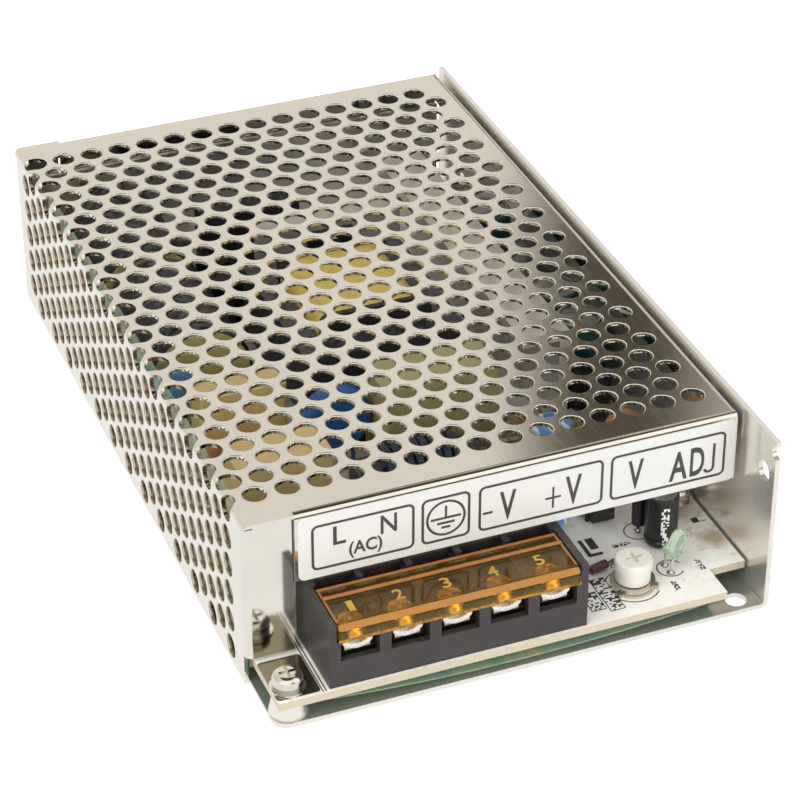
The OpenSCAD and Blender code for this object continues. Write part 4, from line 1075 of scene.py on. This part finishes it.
def earth_sign():
    def draw(work):
        ring(work, (0, 0), 3.35, 3.82, 0.0, INK_THICK, 56)
        bar(work, -0.22, 0.22, 0.24, 2.6, 0.0, INK_THICK)
        for half, y in ((2.9, 0.0), (1.7, -1.05), (0.85, -2.0)):
            bar(work, -half, half, y - 0.24, y + 0.24, 0.0, INK_THICK)

    from_mesh("earth_sign", draw, "ink", on_label(38.1, 28.1), "case")


# ---- Clear cover over the terminals ----


def amber_details():
    width = CLEAR_RIGHT - CLEAR_LEFT
    middle = (CLEAR_RIGHT + CLEAR_LEFT) / 2
    half = width / 2 - 0.1

    # painted highlights: opaque orange lines along the hinge edge, the rib and the side rims
    def beads(work):
        bar(work, -half, half, KNUCKLE_Y - 0.2, KNUCKLE_Y + 0.5, -0.1, 0.06)
        bar(work, -half, half, RIB_Y - 0.5, RIB_Y + 0.3, 0.2, 0.31)
        for side in (-1, 1):
            low, high = sorted((side * half, side * (half - 0.4)))
            bar(work, low, high, NOSE_R, KNUCKLE_Y - 0.2, -0.1, 0.06)

    from_mesh(
        "clear_cover_edge_highlights", beads, "amber_edge",
        place_matrix((middle, 0, PLATE_TOP)), "terminal_cover",
    )

    # painted highlight: an orange band on the rounded front edge
    def nose(work):
        slab(work, rounded_outline(width - 0.2, 1.3, 0.5), -0.14, 0.06, 0.06)

    turn = math.radians(40)
    out = (0.0, -math.sin(turn), math.cos(turn))
    spot = (middle, NOSE_R + NOSE_R * out[1], PLATE_TOP - NOSE_R + NOSE_R * out[2])
    from_mesh(
        "clear_cover_nose", nose, "amber_nose_highlight",
        place_matrix(spot, (1, 0, 0), (0, out[2], -out[1]), out), "terminal_cover",
    )
    for number, x in enumerate(NUMERALS, start=1):
        lettering(
            f"terminal_number_{number}", str(number), 1.2 if number == 1 else 1.8, 2.9, 0.12,
            "amber_mark", place_matrix((x, 5.5, PLATE_TOP - 0.02)), "terminal_cover",
            0.010,
        )


# ---- Board: print, tinned land and solder ----


def cell_sizes(*values):
    """The inputs of the tree that prints cells, in the order of a table's columns."""
    labels = ("Width", "Length", "Across", "Along", "Share", "Seed", "Thickness")
    return dict(zip(labels, values))


def board_print():
    rise = INK_THICK

    def lines(work):
        for x in (9.9, 10.5):
            bar(work, x, x + 0.22, 0.4, 17.5, 0.0, rise)
        for middle, radius in ((KNOB, 5.1), (LAMP, 2.5), ((82.0, 23.2), 2.6)):
            ring(work, middle, radius - 0.12, radius + 0.12, 0.0, rise, 36, 20, 320)
        bar(work, 63.4, 63.6, 13.8, 24.6, 0.0, rise)
        bar(work, 63.5, 66.5, 3.6, 9.1, 0.0, rise)
        bar(work, 66.8, 69.8, 2.5, 12.5, 0.0, rise)
        for corner in ((70.0, 19.0, 73.0, 19.8), (70.0, 19.8, 70.8, 24.5), (71.4, 21.0, 73.0, 24.5)):
            bar(work, corner[0], corner[2], corner[1], corner[3], 0.0, rise)
        octagon = [(93.0, 23.0), (94.2, 21.6), (95.6, 21.6)]
        for (x0, y0), (x1, y1) in zip(octagon, octagon[1:]):
            bar(work, min(x0, x1), max(x0, x1) + 0.15, min(y0, y1), max(y0, y1) + 0.15, 0.0, rise)

    from_mesh(
        "board_lines", lines, "board_ink", place_matrix((0, 0, BOARD_TOP)), "case"
    )
    cells = (
        ("printed_block_wide", 68.3, 7.5, 2.6, 9.6, 7, 24, 0.45, 4, "board_white", 2 * rise),
        ("printed_block_narrow", 65.0, 6.35, 2.6, 5.1, 7, 13, 0.45, 9, "board_white", 2 * rise),
        ("printed_word_rear", 77.3, 20.4, 3.6, 1.0, 15, 5, 0.45, 2, "board_ink", rise),
        ("printed_word_right", 88.3, 9.4, 1.0, 3.2, 5, 13, 0.45, 5, "board_ink", rise),
        ("printed_word_front", 81.2, 5.2, 1.0, 2.8, 5, 12, 0.45, 7, "board_ink", rise),
    )
    for name, x, y, width, length, across, along, share, seed, finish, thick in cells:
        sizes = cell_sizes(width, length, across, along, share, seed, thick)
        place = place_matrix((x, y, BOARD_TOP))
        grow(name, PRINTED_CELLS, sizes, finish, place, "case")


def can_print():
    """Rows of pale marks up the sleeve of the capacitor behind the knob."""
    low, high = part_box("front_capacitor")
    middle = (Vector(low) + Vector(high)) / 2 / MM
    radius = (high[0] - low[0]) / 2 / MM
    out = Vector((-0.25, -0.97, 0.0)).normalized()
    along = Vector((-out.y, out.x, 0.0))
    spot = (middle - CASE_LOW / MM) + out * (radius + 0.01)
    sizes = cell_sizes(1.5, 8.2, 5, 26, 0.45, 11, 0.04)
    grow(
        "capacitor_print", PRINTED_CELLS, sizes, "board_white",
        place_matrix(tuple(spot), tuple(along), (0, 0, 1), tuple(out)), "case",
    )


def flange_seam():
    """Dark lines near the lip's left end: the joint between the return flange and the top sheet that lies
    over it, partly the real gap and partly painted shade along the fold.
    """

    # partly painted shade: dark lines at the fold's left end
    def draw(work):
        bar(work, 0.5, 2.0, -0.10, 0.08, 0.0, 0.03)
        bar(work, 9.1, 9.35, -13.4, 0.11, 0.0, 0.05)

    from_mesh(
        "flange_seam", draw, "board_ink",
        place_matrix((0, LIP_Y, COVER_TOP - COVER_SHEET), **FACE_FRONT), "case",
    )


def tinned_land():
    outline = rounded_outline(8.2, 11.4, 0.8)
    from_mesh(
        "earth_land",
        lambda work: slab(work, outline, 0.0, 0.08, 0.05),
        "land", place_matrix((5.7, 6.4, BOARD_TOP)), "case",
    )


def solder_fillets():
    leads = [
        (LAMP[0] - 0.5, LAMP[1] - 1.27, 0.0),
        (LAMP[0] - 0.5, LAMP[1] + 1.27, 0.0),
        (82.2, 23.4, 0.0),
        (85.1, 23.4, 0.0),
        (66.2, 13.3, 0.0),
        (73.0, 15.1, 0.0),
    ]
    sizes = {"Pad radius": 0.85, "Lead radius": 0.27, "Rise": 0.6}
    grow(
        "lead_solder", LEAD_FILLETS, sizes, "solder",
        place_matrix((0, 0, BOARD_TOP)), "case", leads,
    )


place_camera()
set_view()
light_studio()
lay_floor()
dress_nodes()
cover_edges()
label_plate()
label_frames()
label_words()
label_strokes()
earth_sign()
amber_details()
board_print()
can_print()
flange_seam()
tinned_land()
solder_fillets()
